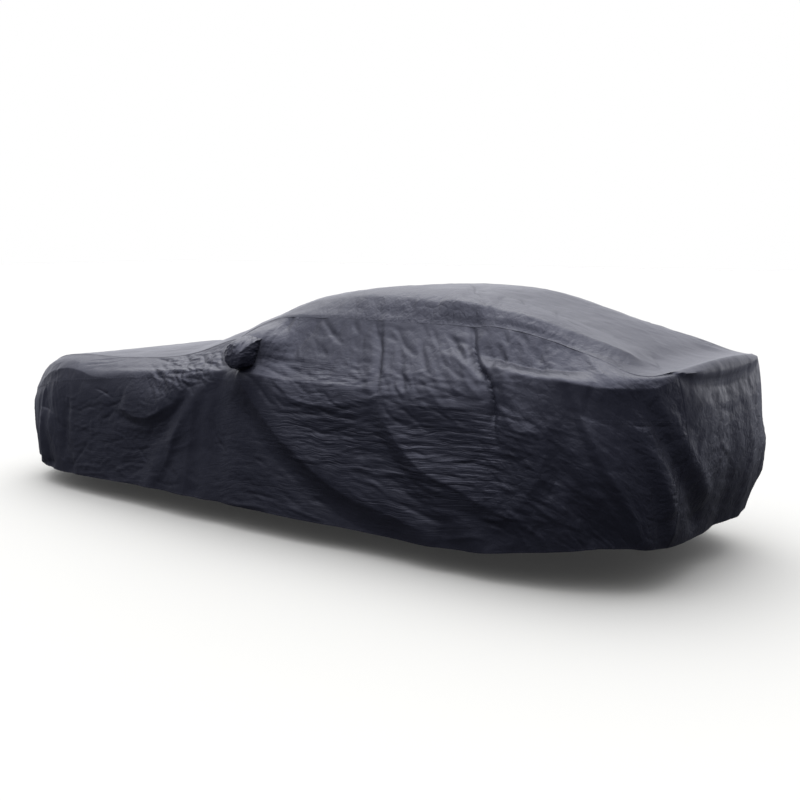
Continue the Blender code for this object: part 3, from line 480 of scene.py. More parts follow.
LEFT_CREASES = (
    # long fold that slants down from the pocket, and the pleats beside it
    (((2.55, 0.42), (2.62, 0.44), (2.71, 0.50), (2.78, 0.55), (2.86, 0.57)), (25, 25), -5),
    (((2.78, 0.44), (2.86, 0.48), (2.93, 0.515), (3.00, 0.53), (3.15, 0.54), (3.32, 0.54)), (30, 60), 6),
    (((2.81, 0.515), (2.86, 0.545), (2.92, 0.57), (3.06, 0.56)), (20, 25), -4),
    (((2.80, 0.59), (2.87, 0.605), (3.00, 0.60), (3.12, 0.59)), (20, 25), -4),
    (((2.60, 0.335), (2.70, 0.32), (2.80, 0.32), (2.95, 0.31)), (25, 30), -6),
    (((2.66, 0.345), (2.76, 0.34), (2.85, 0.35), (2.94, 0.365)), (15, 20), -4),
    (((2.60, 0.37), (2.70, 0.375), (2.80, 0.40), (2.92, 0.42)), (20, 25), -4),
    (((2.68, 0.29), (2.76, 0.27), (2.86, 0.25)), (15, 20), -4),
    (((2.71, 0.25), (2.76, 0.235), (2.81, 0.21)), (12, 18), -3),
    # over the front door, under the roof seam
    (((2.66, 0.00), (2.65, 0.08), (2.66, 0.18)), (50, 50), -7),
    (((2.93, 0.00), (2.98, 0.05), (3.05, 0.10), (3.14, 0.155), (3.22, 0.17)), (30, 30), -6),
    (((3.19, 0.03), (3.22, 0.06), (3.25, 0.10)), (25, 30), -5),
    (((3.32, 0.30), (3.37, 0.28), (3.43, 0.285), (3.48, 0.32)), (20, 25), -4),
    (((3.33, 0.31), (3.36, 0.33), (3.39, 0.335)), (15, 20), -4),
    (((3.22, 0.42), (3.30, 0.41), (3.36, 0.405)), (15, 15), -3),
    # slack creases across the doors
    (((3.16, 0.545), (3.23, 0.575), (3.30, 0.59), (3.42, 0.595), (3.55, 0.59)), (20, 30), -5),
    (((3.02, 0.685), (3.10, 0.66), (3.22, 0.65)), (18, 22), -3),
    (((3.05, 0.70), (3.16, 0.68), (3.25, 0.69), (3.38, 0.68), (3.52, 0.68)), (18, 24), -4),
    (((3.20, 0.68), (3.30, 0.66), (3.40, 0.635), (3.52, 0.61)), (18, 24), -4),
    (((3.43, 0.77), (3.50, 0.765), (3.58, 0.76)), (20, 20), -5),
    (((3.60, 0.845), (3.68, 0.835), (3.77, 0.83)), (18, 15), 3),
    (((3.73, 0.62), (3.84, 0.61), (3.96, 0.60)), (15, 18), -4),
    (((3.76, 0.68), (3.90, 0.685), (4.02, 0.69), (4.14, 0.67)), (14, 16), -4),
    (((3.83, 0.71), (3.87, 0.725), (3.91, 0.745)), (14, 16), -4),
    (((3.88, 0.80), (3.98, 0.82), (4.10, 0.84), (4.20, 0.85)), (16, 16), -4),
    (((4.02, 0.765), (4.10, 0.77), (4.18, 0.745)), (12, 14), -4),
    (((3.69, 0.51), (3.76, 0.53), (3.82, 0.57), (3.87, 0.61)), (18, 20), -4),
    (((3.62, 0.505), (3.67, 0.55), (3.73, 0.585), (3.80, 0.60)), (18, 20), -4),
    (((3.88, 0.50), (3.94, 0.525), (4.00, 0.55)), (20, 20), -5),
    (((3.68, 0.97), (3.78, 0.99), (3.88, 1.02), (3.97, 1.05), (4.08, 1.05)), (22, 25), -5),
    (((3.70, 0.90), (3.80, 0.93), (3.90, 0.97)), (25, 25), -5),
    (((3.98, 1.14), (4.06, 1.13), (4.14, 1.12), (4.20, 1.14)), (18, 30), 4),
    (((4.18, 1.03), (4.25, 1.035), (4.33, 1.01)), (18, 15), 4),
    (((4.18, 1.05), (4.25, 1.08), (4.33, 1.12)), (20, 25), -4),
    # over the rear door, between the roof seam and the widest line
    (((3.50, 0.05), (3.55, 0.10), (3.60, 0.15), (3.65, 0.19), (3.72, 0.23)), (25, 30), -6),
    (((3.68, 0.08), (3.73, 0.18), (3.78, 0.25), (3.83, 0.33)), (35, 30), -6),
    (((3.70, 0.02), (3.77, 0.09), (3.82, 0.15), (3.87, 0.20)), (22, 25), -4),
    (((3.86, 0.08), (3.92, 0.15), (3.97, 0.21), (4.02, 0.26)), (25, 28), -6),
    (((3.84, 0.09), (3.92, 0.115), (4.01, 0.145)), (25, 25), -6),
    (((3.86, 0.24), (3.93, 0.28), (4.00, 0.33), (4.09, 0.36)), (20, 25), -4),
    (((3.99, 0.27), (4.06, 0.33), (4.13, 0.40)), (20, 25), -4),
    # deep gather behind the rear door
    (((3.95, -0.01), (3.98, 0.06), (4.01, 0.13), (4.05, 0.21), (4.09, 0.27), (4.14, 0.32), (4.18, 0.40),
      (4.20, 0.47), (4.21, 0.58), (4.23, 0.68)), (44, 20), -23),
    (((4.15, 0.25), (4.20, 0.30), (4.24, 0.40), (4.26, 0.52)), (40, 60), 6),
    # shelf over the rear wheel, and the folds under it
    (((4.20, 0.285), (4.32, 0.29), (4.45, 0.265), (4.55, 0.235), (4.61, 0.20), (4.66, 0.16), (4.74, 0.11),
      (4.84, 0.07), (4.96, 0.05)), (70, 110), 18),
    (((4.30, 0.00), (4.32, 0.07), (4.34, 0.14), (4.37, 0.23)), (25, 25), -5),
    (((4.42, 0.00), (4.43, 0.08), (4.45, 0.16), (4.47, 0.25)), (16, 18), -3),
    (((4.12, 0.10), (4.16, 0.17), (4.20, 0.25)), (30, 25), -4),
    (((4.49, 0.30), (4.53, 0.40), (4.56, 0.50), (4.60, 0.60), (4.68, 0.74)), (40, 40), 5),
    (((4.42, 0.58), (4.40, 0.70), (4.38, 0.82), (4.33, 0.94), (4.27, 1.03)), (60, 70), 8),
    # hanging folds before the pocket, and the cloth under it
    (((2.24, 0.56), (2.25, 0.68), (2.28, 0.75), (2.34, 0.80)), (15, 18), -5),
    (((2.21, 0.60), (2.23, 0.70), (2.24, 0.82)), (14, 14), -4),
    (((2.56, 0.62), (2.59, 0.67), (2.61, 0.73)), (20, 20), -4),
    (((2.63, 0.87), (2.70, 0.885), (2.77, 0.905)), (12, 14), -4),
    (((2.56, 1.065), (2.70, 1.07), (2.88, 1.075)), (14, 18), -5),
    (((2.44, 1.00), (2.55, 0.995), (2.67, 0.99)), (14, 16), -3),
    (((2.90, 1.04), (2.98, 1.07), (3.05, 1.09)), (18, 20), -4),
    (((2.36, 1.10), (2.50, 1.13), (2.64, 1.135), (2.80, 1.14)), (12, 25), 5),
    (((2.95, 1.11), (3.08, 1.13), (3.22, 1.15)), (12, 20), 4),
    # swag over the front wheel
    (((2.02, 0.50), (1.95, 0.62), (1.88, 0.75), (1.78, 0.88)), (80, 60), 7),
    (((1.26, 0.50), (1.33, 0.48), (1.38, 0.43)), (30, 20), -5),
    (((1.20, 0.30), (1.30, 0.33), (1.38, 0.365)), (14, 16), -5),
    (((1.33, 0.42), (1.40, 0.40), (1.46, 0.38)), (14, 16), -4),
    (((1.26, 0.655), (1.38, 0.64), (1.48, 0.615)), (14, 16), -3),
    (((1.38, 0.67), (1.52, 0.69), (1.70, 0.69)), (14, 16), -3),
    (((1.42, 0.77), (1.58, 0.77), (1.70, 0.79)), (16, 16), -4),
    (((1.52, 0.85), (1.60, 0.82), (1.66, 0.80)), (14, 14), -3),
    (((1.30, 0.885), (1.48, 0.89), (1.70, 0.885)), (12, 12), 3),
    (((1.60, 0.68), (1.65, 0.74), (1.69, 0.78)), (16, 16), -4),
    # beside the bonnet
    (((1.57, 0.02), (1.66, 0.055), (1.72, 0.09), (1.80, 0.10)), (25, 30), -9),
    (((1.79, 0.01), (1.85, 0.07), (1.92, 0.13), (1.99, 0.14)), (25, 30), -9),
    (((1.82, 0.24), (1.90, 0.26), (2.00, 0.28), (2.12, 0.30)), (20, 30), -8),
    (((1.88, 0.19), (1.97, 0.24), (2.04, 0.28), (2.10, 0.33)), (16, 20), -4),
    (((1.76, 0.10), (1.82, 0.17), (1.88, 0.22)), (20, 20), -4),
    (((1.58, 0.10), (1.66, 0.16), (1.73, 0.22), (1.80, 0.32)), (16, 18), -3),
    (((2.12, 0.12), (2.18, 0.20), (2.25, 0.28), (2.36, 0.34)), (30, 35), -8),
    (((1.01, 0.14), (1.10, 0.12), (1.20, 0.09), (1.30, 0.05)), (20, 25), -4),
    (((1.00, 0.10), (1.10, 0.06), (1.20, 0.03)), (20, 20), -4),
    (((0.50, 0.26), (0.60, 0.215), (0.72, 0.19), (0.88, 0.18), (1.02, 0.195), (1.15, 0.225), (1.35, 0.24)),
     (60, 90), 8),
    # nose corner
    (((0.94, 0.85), (1.02, 0.77), (1.08, 0.71), (1.13, 0.65)), (14, 20), -4),
    (((0.99, 0.83), (1.10, 0.81), (1.23, 0.82)), (12, 14), 3),
    (((1.00, 0.875), (1.15, 0.86), (1.30, 0.85)), (10, 14), 3),
    (((1.17, 0.50), (1.16, 0.56), (1.17, 0.62)), (20, 25), 4),
    (((0.62, 0.30), (0.60, 0.42), (0.62, 0.52)), (40, 30), 5),
    (((0.44, 0.40), (0.46, 0.55), (0.44, 0.72)), (40, 40), -9),
    (((0.26, 0.30), (0.24, 0.50), (0.25, 0.66)), (40, 40), -8),
)
# On the top the path is (back along the centre line, across from it, left under 0). The first
# flank is nearer the right side of a crease drawn towards the tail.
TOP_BROAD = (
    # rim of the roof, left
    (((2.95, -0.50), (3.30, -0.53), (3.60, -0.55), (3.90, -0.58), (4.10, -0.585), (4.25, -0.58)),
     (260, 100), 20),
    (((3.95, -0.58), (4.10, -0.585), (4.35, -0.575), (4.60, -0.565), (4.80, -0.54), (4.95, -0.50),
      (5.05, -0.45), (5.12, -0.41)), (300, 110), 42),
    # lip over the tail, the hollow before it and the drop under it
    (((5.22, -0.68), (5.28, -0.60), (5.315, -0.45), (5.32, -0.20), (5.325, 0.00), (5.32, 0.30),
      (5.31, 0.64)), (90, 36), 24),
)
TOP_CREASES = (
    # gathers that cross the rim of the roof
    (((3.74, 0.12), (3.86, -0.05), (3.97, -0.22), (4.04, -0.36), (4.10, -0.42), (4.16, -0.50),
      (4.24, -0.61), (4.27, -0.66)), (30, 40), -8),
    (((3.99, -0.25), (4.05, -0.29), (4.10, -0.35)), (20, 20), -4),
    (((4.20, -0.32), (4.22, -0.39), (4.24, -0.45)), (22, 22), -6),
    (((4.25, -0.22), (4.29, -0.29), (4.32, -0.33), (4.32, -0.39)), (22, 22), -5),
    (((4.35, -0.33), (4.37, -0.38), (4.39, -0.42)), (18, 18), -4),
    (((4.45, -0.20), (4.50, -0.31), (4.54, -0.40), (4.58, -0.48)), (18, 20), -4),
    (((4.46, -0.36), (4.60, -0.38), (4.76, -0.40)), (25, 25), -3),
    (((4.08, -0.49), (4.15, -0.52), (4.21, -0.57), (4.26, -0.63)), (30, 30), -9),
    (((4.24, -0.57), (4.27, -0.61), (4.29, -0.66)), (18, 22), -6),
    (((4.62, -0.56), (4.64, -0.61), (4.68, -0.66)), (20, 20), -5),
    (((4.72, -0.56), (4.74, -0.61), (4.77, -0.66)), (16, 20), -4),
    (((3.74, -0.56), (3.79, -0.62), (3.84, -0.68)), (20, 22), -5),
    # hollow before the lip and the drop under it
    (((5.36, -0.60), (5.39, -0.20), (5.39, 0.20), (5.36, 0.60)), (40, 80), -8),
    (((5.13, -0.44), (5.17, -0.52), (5.21, -0.59), (5.25, -0.64)), (25, 25), -6),
    (((4.98, -0.49), (5.05, -0.45), (5.12, -0.45), (5.17, -0.50)), (40, 70), -6),
    # loose folds of the tail
    (((5.98, -0.20), (6.03, -0.08), (6.06, 0.04)), (25, 25), 6),
    (((5.90, -0.24), (5.93, -0.14), (5.97, -0.02)), (20, 20), 5),
    (((5.93, -0.45), (5.98, -0.38), (6.02, -0.30)), (20, 20), 5),
    (((5.64, -0.22), (5.70, -0.12), (5.72, -0.02)), (30, 30), 6),
    (((5.85, -0.12), (5.855, -0.03), (5.86, 0.06)), (14, 14), -4),
    (((5.78, 0.14), (5.75, 0.20), (5.73, 0.29)), (25, 25), -5),
    (((5.48, -0.20), (5.52, -0.05), (5.50, 0.12)), (25, 25), -4),
    (((5.52, -0.56), (5.56, -0.47), (5.57, -0.38)), (22, 22), -5),
)

# Crumpled stretches: middle (run, down), half sizes, how many strokes, their direction in
# degrees and its spread, their length from and to in metres, reach and height in mm
SIDE_CRUMPLES = (
    ((2.50, 0.55), (2.50, 0.55), 420, 0, 90, 0.06, 0.20, 22, 1.7),
    ((3.30, 0.68), (0.38, 0.19), 420, -5, 9, 0.08, 0.34, 13, 1.7),
    ((3.95, 0.70), (0.26, 0.20), 280, 2, 9, 0.06, 0.28, 13, 1.8),
    ((3.75, 0.92), (0.40, 0.12), 160, 10, 14, 0.08, 0.25, 14, 1.7),
    ((3.05, 0.17), (0.50, 0.17), 60, 50, 45, 0.06, 0.28, 22, 3.6),
    ((3.80, 0.17), (0.38, 0.18), 50, 52, 14, 0.10, 0.42, 24, 4.5),
    ((3.45, 0.40), (0.70, 0.10), 70, 2, 22, 0.06, 0.30, 18, 3.4),
    ((2.42, 0.90), (0.20, 0.22), 160, 8, 12, 0.04, 0.14, 13, 1.4),
    ((2.85, 0.98), (0.30, 0.15), 150, 5, 12, 0.06, 0.20, 14, 1.4),
    ((1.35, 0.62), (0.50, 0.28), 120, -5, 30, 0.06, 0.28, 16, 2.6),
    ((1.92, 0.17), (0.26, 0.16), 120, 42, 22, 0.06, 0.24, 17, 5.0),
    ((4.42, 0.75), (0.25, 0.35), 240, 60, 50, 0.03, 0.16, 17, 3.4),
    ((4.75, 0.45), (0.20, 0.30), 200, 50, 40, 0.04, 0.16, 17, 2.2),
    ((4.32, 0.12), (0.34, 0.14), 160, 75, 25, 0.05, 0.20, 15, 3.4),
    ((0.50, 0.45), (0.45, 0.35), 160, 80, 30, 0.08, 0.25, 22, 2.4),
)
TOP_CRUMPLES = (
    ((5.72, 0.00), (0.36, 0.62), 240, 125, 40, 0.06, 0.22, 24, 2.6),
    ((4.00, 0.00), (0.90, 0.50), 160, -60, 20, 0.10, 0.35, 26, 1.3),
    ((4.20, -0.62), (0.80, 0.07), 220, -60, 35, 0.03, 0.10, 15, 2.2),
    ((4.20, 0.62), (0.80, 0.07), 200, 60, 35, 0.03, 0.10, 15, 2.2),
    ((1.40, 0.00), (0.70, 0.60), 120, -15, 30, 0.10, 0.40, 30, 1.4),
    ((0.35, 0.00), (0.35, 0.50), 160, 0, 50, 0.06, 0.25, 22, 2.4),
    ((2.60, 0.00), (0.40, 0.60), 80, 60, 30, 0.10, 0.30, 26, 2.0),
)
# Where the cloth has fine level creases (slack) and small pleats all ways (crumple): middle,
# half sizes and strength
SIDE_SLACK = (
    ((3.25, 0.67), (0.45, 0.18), 1.0), ((3.97, 0.77), (0.30, 0.25), 1.0),
    ((3.75, 0.97), (0.40, 0.14), 0.7), ((2.45, 0.95), (0.25, 0.22), 0.35),
    ((2.95, 1.00), (0.35, 0.14), 0.4), ((3.10, 0.40), (0.45, 0.12), 0.5),
    ((1.50, 0.62), (0.45, 0.30), 0.3), ((2.45, 0.55), (0.30, 0.20), 0.2),
)
SIDE_CRUMPLE = (
    ((3.30, 0.20), (0.50, 0.28), 0.25), ((3.85, 0.22), (0.40, 0.28), 0.35),
    ((4.35, 0.12), (0.40, 0.16), 0.5), ((4.40, 0.72), (0.32, 0.42), 0.6),
    ((4.85, 0.45), (0.30, 0.45), 0.8), ((1.90, 0.20), (0.32, 0.20), 0.8),
    ((2.72, 0.15), (0.25, 0.20), 0.4), ((1.40, 0.55), (0.60, 0.35), 0.2),
)
TOP_CRUMPLE = (
    ((5.85, 0.00), (0.38, 1.10), 0.6), ((4.20, -0.66), (0.90, 0.16), 0.6),
    ((4.20, 0.66), (0.90, 0.16), 0.6), ((0.30, 0.00), (0.40, 0.70), 0.5),
)
# Crumple everywhere else, and how far from its middle a zone has faded out, in half sizes
FLAT_CRUMPLE = 0.12
ZONE_EDGE = 1.6
# Creases die out this near a seam
SEAM_CALM = 0.03
# Uneven swell of the whole cloth: its size and height, and fractal dimension, lacunarity,
# octaves, offset and gain of the noise
RIDGE_SIZE = 0.16
RIDGE_HEIGHT = 0.0025
RIDGE_NOISE = (1.0, 2.1, 3, 1.0, 2.0)
# Flanks are hollow over 1: small creases more so than broad folds
FLANK_SHAPE = 1.6
BROAD_SHAPE = 1.15
CREASE_SHARE = 1.4
# Small strokes: most bend, as a share of half their length, and from which to which share of the
# given reach and height they go
STROKE_BEND = 0.25
STROKE_FLANKS = (0.6, 1.6)
STROKE_RISES = (0.4, 1.2)
# The hidden right side has the left one's smaller creases, a little further back
RIGHT_SHIFT = (0.06, 0.01)
RIGHT_LIMIT = 6
# Seeds of the swells and the crumples; a side's own is its seed less 1 or plus 1
SIDE_SWELL, TOP_SWELL, POCKET_SWELL = 3, 9, 5
SIDE_SEED, TOP_SEED = 20, 40


def add_crease(lift, flat, path, reaches, height, shape=FLANK_SHAPE):
    """Adds one crease: a crisp line with a hollow flank on each side, fading at its ends."""
    near, distance, along, hand = near_line(flat, curve_through(path), MILLIMETRE * max(reaches))
    reach = MILLIMETRE * np.where(hand > 0, reaches[0], reaches[1])
    fade = np.sqrt(np.sin(np.pi * np.clip(along, 0, 1)))
    lift[near] += MILLIMETRE * height * fade * np.clip(1 - distance / reach, 0, 1) ** shape


def add_strokes(lift, flat, stretches, seed):
    """Adds short seeded creases, slightly bent, in each crumpled stretch."""
    draw = np.random.default_rng(seed)
    for middle, half, count, turn, spread, short, long, reach, height in stretches:
        for _stroke in range(count):
            start = np.array(middle) + draw.uniform(-1, 1, 2) * half
            angle = math.radians(turn + draw.uniform(-spread, spread))
            length = draw.uniform(short, long)
            bend = draw.uniform(-STROKE_BEND, STROKE_BEND)
            ahead = np.array((math.cos(angle), math.sin(angle)))
            aside = np.array((-ahead[1], ahead[0])) * bend
            path = [start, start + length * (0.5 * ahead + 0.5 * aside), start + length * ahead]
            flanks = draw.uniform(*STROKE_FLANKS, 2) * reach
            rise = draw.choice((-1, 1)) * draw.uniform(*STROKE_RISES) * height
            add_crease(lift, flat, path, flanks, rise)


def ridged(flat, size, seed):
    """Uneven sharp-edged swell of crumpled cloth, about -1 to 1."""
    spots = np.column_stack([flat.reshape(-1, 2) / size, np.full(flat.size // 2, float(seed))])
    found = [noise.ridged_multi_fractal(spot, *RIDGE_NOISE) for spot in spots.tolist()]
    return np.array(found).reshape(flat.shape[:-1]) - 1.0


def zone_strength(flat, zones, least):
    """How strongly a pattern shows: full inside its zones, fading out around them."""
    strength = np.full(flat.shape[:-1], least)
    for middle, half, most in zones:
        far = np.linalg.norm((flat - middle) / half, axis=-1)
        strength = np.maximum(strength, most * np.clip(ZONE_EDGE - far, 0, 1))
    return strength


def side_creases(side, flat, depth):
    """Height of a side's creases, with the left ones listed one by one and the hidden right plainer."""
    lift = RIDGE_HEIGHT * ridged(flat, RIDGE_SIZE, SIDE_SWELL + side)
    if side == LEFT:
        for path, reaches, height in LEFT_BROAD:
            add_crease(lift, flat, path, reaches, height, BROAD_SHAPE)
    for path, reaches, height in LEFT_CREASES:
        if side == LEFT:
            add_crease(lift, flat, path, reaches, CREASE_SHARE * height)
        elif abs(height) <= RIGHT_LIMIT:
            add_crease(lift, flat, np.array(path) + RIGHT_SHIFT, reaches, height)
    add_strokes(lift, flat, SIDE_CRUMPLES, SIDE_SEED + side)
    edge = np.minimum(np.minimum(flat[..., 0], SIDE_RUN - flat[..., 0]), flat[..., 1])
    return depth * lift * np.clip(edge / SEAM_CALM, 0, 1)


def side_cloth(side, ribs, stops, depth):
    """Draped points of a side, and their place on its flat cloth."""
    points = side_points(side, ribs, stops)
    flat = side_flat(ribs, stops)
    lift = main_lift(points) + side_creases(side, flat, depth)
    return points + lift[..., None] * outward(points), flat


def top_flat(points):
    """Place on the flat cloth of the top: metres along its centre line, and across from it."""
    middle = points.shape[1] // 2
    run = running_length(points[:, middle])
    steps = np.linalg.norm(np.diff(points, axis=1), axis=-1)
    across = np.concatenate([np.zeros((len(points), 1)), np.cumsum(steps, axis=1)], axis=1)
    across -= across[:, middle:middle + 1]
    return np.stack([np.broadcast_to(run[:, None], across.shape), across], axis=-1)


def top_creases(flat, depth):
    """Height of the top sheet's creases."""
    lift = RIDGE_HEIGHT * ridged(flat, RIDGE_SIZE, TOP_SWELL)
    for path, reaches, height in TOP_BROAD:
        add_crease(lift, flat, path, reaches, height, BROAD_SHAPE)
    for path, reaches, height in TOP_CREASES:
        add_crease(lift, flat, path, reaches, height)
    add_strokes(lift, flat, TOP_CRUMPLES, TOP_SEED)
    edge = np.abs(flat[:, -1:, 1]) - np.abs(flat[..., 1])
    return depth * lift * np.clip(edge / SEAM_CALM, 0, 1)


def stretches_of(bounds, counts):
    """Steps from bound to bound, so many evenly spaced cells in each stretch."""
    steps = [0.0]
    for start, end, cells in zip(bounds[:-1], bounds[1:], counts):
        steps += list(np.linspace(start, end, cells + 1)[1:])
    return np.array(steps)


def column_ribs():
    """Rib numbers of the mesh columns, evenly spaced along the widest line but for the pocket."""
    bounds = np.interp((0, *POCKET_RIBS, LAST_RIB), FINE_RIBS, FINE_RUN)
    return np.interp(stretches_of(bounds, COLUMNS), FINE_RUN, FINE_RIBS)


# ---------------------------------------------------------------- making the pieces

def sheet_object(name, points, flat, marks, thickness, hole=None):
    """A cloth sheet: a grid primitive whose corners are put in place, then given its thickness."""
    rows, columns = points.shape[:2]
    bpy.ops.object.select_all(action="DESELECT")
    bpy.ops.mesh.primitive_grid_add(x_subdivisions=columns - 1, y_subdivisions=rows - 1, size=1)
    piece = bpy.context.object
    piece.name = piece.data.name = name
    mesh = piece.data
    place = np.empty(3 * len(mesh.vertices))
    mesh.vertices.foreach_get("co", place)
    place = place.reshape(-1, 3) + 0.5
    column = np.rint(place[:, 0] * (columns - 1)).astype(int)
    row = np.rint(place[:, 1] * (rows - 1)).astype(int)
    mesh.vertices.foreach_set("co", (points[row, column] - HOLD_POINT).ravel())
    corners = np.empty(len(mesh.loops), int)
    mesh.loops.foreach_get("vertex_index", corners)
    middle_of_map = 0.5 * (flat[..., 1].min() < 0) * np.array((0, 1))
    uv = flat[row, column][corners] / UV_SPAN + middle_of_map
    mesh.uv_layers.active.data.foreach_set("uv", uv.ravel())
    for label, values in marks.items():
        layer = mesh.attributes.new(label, "FLOAT", "POINT")
        layer.data.foreach_set("value", values[row, column].astype(np.float32))
    if hole is not None:
        cut_hole(piece, row, column, hole)
    mesh.update()
    normals = np.empty(3 * len(mesh.polygons))
    mesh.polygons.foreach_get("normal", normals)
    centres = np.empty(3 * len(mesh.polygons))
    mesh.polygons.foreach_get("center", centres)
    away = outward(centres.reshape(-1, 3) + HOLD_POINT)
    if (normals.reshape(-1, 3) * away).sum() < 0:
        bpy.ops.object.mode_set(mode="EDIT")
        bpy.ops.mesh.select_all(action="SELECT")
        bpy.ops.mesh.flip_normals()
        bpy.ops.object.mode_set(mode="OBJECT")
    solidify = piece.modifiers.new("Thickness", "SOLIDIFY")
    solidify.thickness = thickness
    solidify.offset = -1
    bpy.ops.object.modifier_apply(modifier=solidify.name)
    bpy.ops.object.shade_smooth_by_angle(angle=RIM_ANGLE)
    return piece


def cut_hole(piece, row, column, hole):
    """Deletes the grid faces whose corners all lie within the hole's rows and columns."""
    first_row, last_row, first_column, last_column = hole
    inside = (row >= first_row) & (row <= last_row) & (column >= first_column) & (column <= last_column)
    mesh = piece.data
    bpy.ops.object.mode_set(mode="EDIT")
    bpy.ops.mesh.select_all(action="DESELECT")
    bpy.ops.mesh.select_mode(type="FACE")
    bpy.ops.object.mode_set(mode="OBJECT")
    chosen = [all(inside[corner] for corner in face.vertices) for face in mesh.polygons]
    mesh.polygons.foreach_set("select", chosen)
    bpy.ops.object.mode_set(mode="EDIT")
    bpy.ops.mesh.delete(type="FACE")
    bpy.ops.object.mode_set(mode="OBJECT")


def lap_over(points, distance):
    """Lifts a sheet gently towards its seam, at the given distances, to lie over its neighbour."""
    near = 1 - np.clip(distance / LAP_BLEND, 0, 1)
    rise = LAP_RISE * near * near * (3 - 2 * near)
    return points + rise[..., None] * outward(points)


def side_marks(flat, seam):
    """What the cloth's material reads at each corner of a side sheet."""
    return {"seam": seam, "slack": zone_strength(flat, SIDE_SLACK, 0.0),
            "crumple": zone_strength(flat, SIDE_CRUMPLE, FLAT_CRUMPLE)}


def make_side_sheets(side, word, settings):
    """The upper sheet of a side, open behind its pocket, and the lower one down to the hem."""
    ribs = column_ribs()
    upper = stretches_of((0, *POCKET_STOPS, BELT_STOP), UPPER_ROWS)
    lower = np.linspace(BELT_STOP, LAST_STOP, LOWER_ROWS + 1)
    depth = settings.crease_depth
    lap = BELT_STOP + SEAM_LAP / METRES_A_STOP
    points, flat = side_cloth(side, ribs, np.append(upper, lap), depth)
    seam = flat[:, -2:-1, 1] - flat[..., 1]
    points = lap_over(points, seam)
    first_column, first_row = COLUMNS[0], UPPER_ROWS[0]
    hole = (first_column, first_column + COLUMNS[1], first_row, first_row + UPPER_ROWS[1])
    marks = side_marks(flat, seam)
    piece = sheet_object(f"upper_sheet_{word}", points, flat, marks, settings.thickness, hole)
    dress(piece, f"upper_side_{word}", settings)
    points, flat = side_cloth(side, ribs, lower, depth)
    marks = side_marks(flat, np.abs(flat[:, -1:, 1] - flat[..., 1]))
    piece = sheet_object(f"lower_sheet_{word}", points, flat, marks, settings.thickness)
    dress(piece, f"lower_side_{word}", settings)


def make_top_sheet(settings):
    """The top sheet, its rows evenly spaced along the mean of its edges and its middle."""
    coarse = np.linspace(0, len(CENTRE_LINE) - 1, FINE_STEPS)
    spread = top_points(coarse, (-1, 0, 1))
    run = sum(running_length(spread[:, column]) for column in range(3)) / 3
    rows = np.interp(np.linspace(0, run[-1], TOP_ROWS + 1), run, coarse)
    even = np.linspace(-1, 1, TOP_COLUMNS + 1)
    parts = even * (1 + EDGE_CLOSENESS * (1 - even ** 2))
    points = top_points(rows, parts)
    flat = top_flat(points)
    lift = main_lift(points) + top_creases(flat, settings.crease_depth)
    points = points + lift[..., None] * outward(points)
    seam = np.abs(flat[:, -1:, 1]) - np.abs(flat[..., 1])
    points = lap_over(points, seam)
    points, flat, seam = with_laps(points, flat, seam, rows)
    marks = {"seam": seam, "slack": np.zeros_like(seam),
             "crumple": zone_strength(flat, TOP_CRUMPLE, FLAT_CRUMPLE)}
    piece = sheet_object("top_sheet", points, flat, marks, settings.thickness)
    dress(piece, "top_panel", settings)


def with_laps(points, flat, seam, rows):
    """Adds a column at each edge that laps over the side sheets."""
    laps = []
    for side in (LEFT, RIGHT):
        ribs = np.clip(rows - LAST_STOP, 0, LAST_RIB)
        stops = np.maximum(np.maximum(LAST_STOP - rows, rows - LAST_STOP - LAST_RIB), TOP_LAP_STOPS)
        at_nose = (ribs <= TOP_LAP_RIBS) | (rows <= LAST_STOP)
        at_tail = rows >= LAST_STOP + LAST_RIB
        inner = ribs + TOP_LAP_RIBS * at_nose - TOP_LAP_RIBS * at_tail
        lap = [side_points(side, [rib], [min(stop, LAST_STOP)])[0, 0] for rib, stop in zip(inner, stops)]
        lap = np.array(lap)
        lifted = lap + (main_lift(lap) + LAP_RISE)[:, None] * outward(lap)
        laps.append(lifted[:, None])
    points = np.concatenate([laps[0], points, laps[1]], axis=1)
    steps = np.linalg.norm(points[:, :1] - points[:, 1:2], axis=-1)
    first = flat[:, :1] - np.stack([np.zeros_like(steps), steps], axis=-1)
    last = flat[:, -1:] + np.stack([np.zeros_like(steps), steps], axis=-1)
    flat = np.concatenate([first, flat, last], axis=1)
    seam = np.concatenate([-steps, seam, -steps], axis=1)
    return points, flat, seam


def pocket_rim(side, across, down, depth):
    """Points of the side sheet round the pocket's hole, both ways from -1 to 1."""
    columns, rows = POCKET_RIM_STEPS
    fine_ribs = np.linspace(*POCKET_RIBS, columns + 1)
    fine_stops = np.linspace(*POCKET_STOPS, rows + 1)
    grid, _flat = side_cloth(side, fine_ribs, fine_stops, depth)
    column = (across.ravel() + 1) / 2 * columns
    row = (down.ravel() + 1) / 2 * rows
    left = np.minimum(column.astype(int), columns - 1)
    top = np.minimum(row.astype(int), rows - 1)
    over, under = (column - left)[:, None], (row - top)[:, None]
    near = grid[left, top] * (1 - under) + grid[left, top + 1] * under
    far = grid[left + 1, top] * (1 - under) + grid[left + 1, top + 1] * under
    return (near * (1 - over) + far * over).reshape(across.shape + (3,))


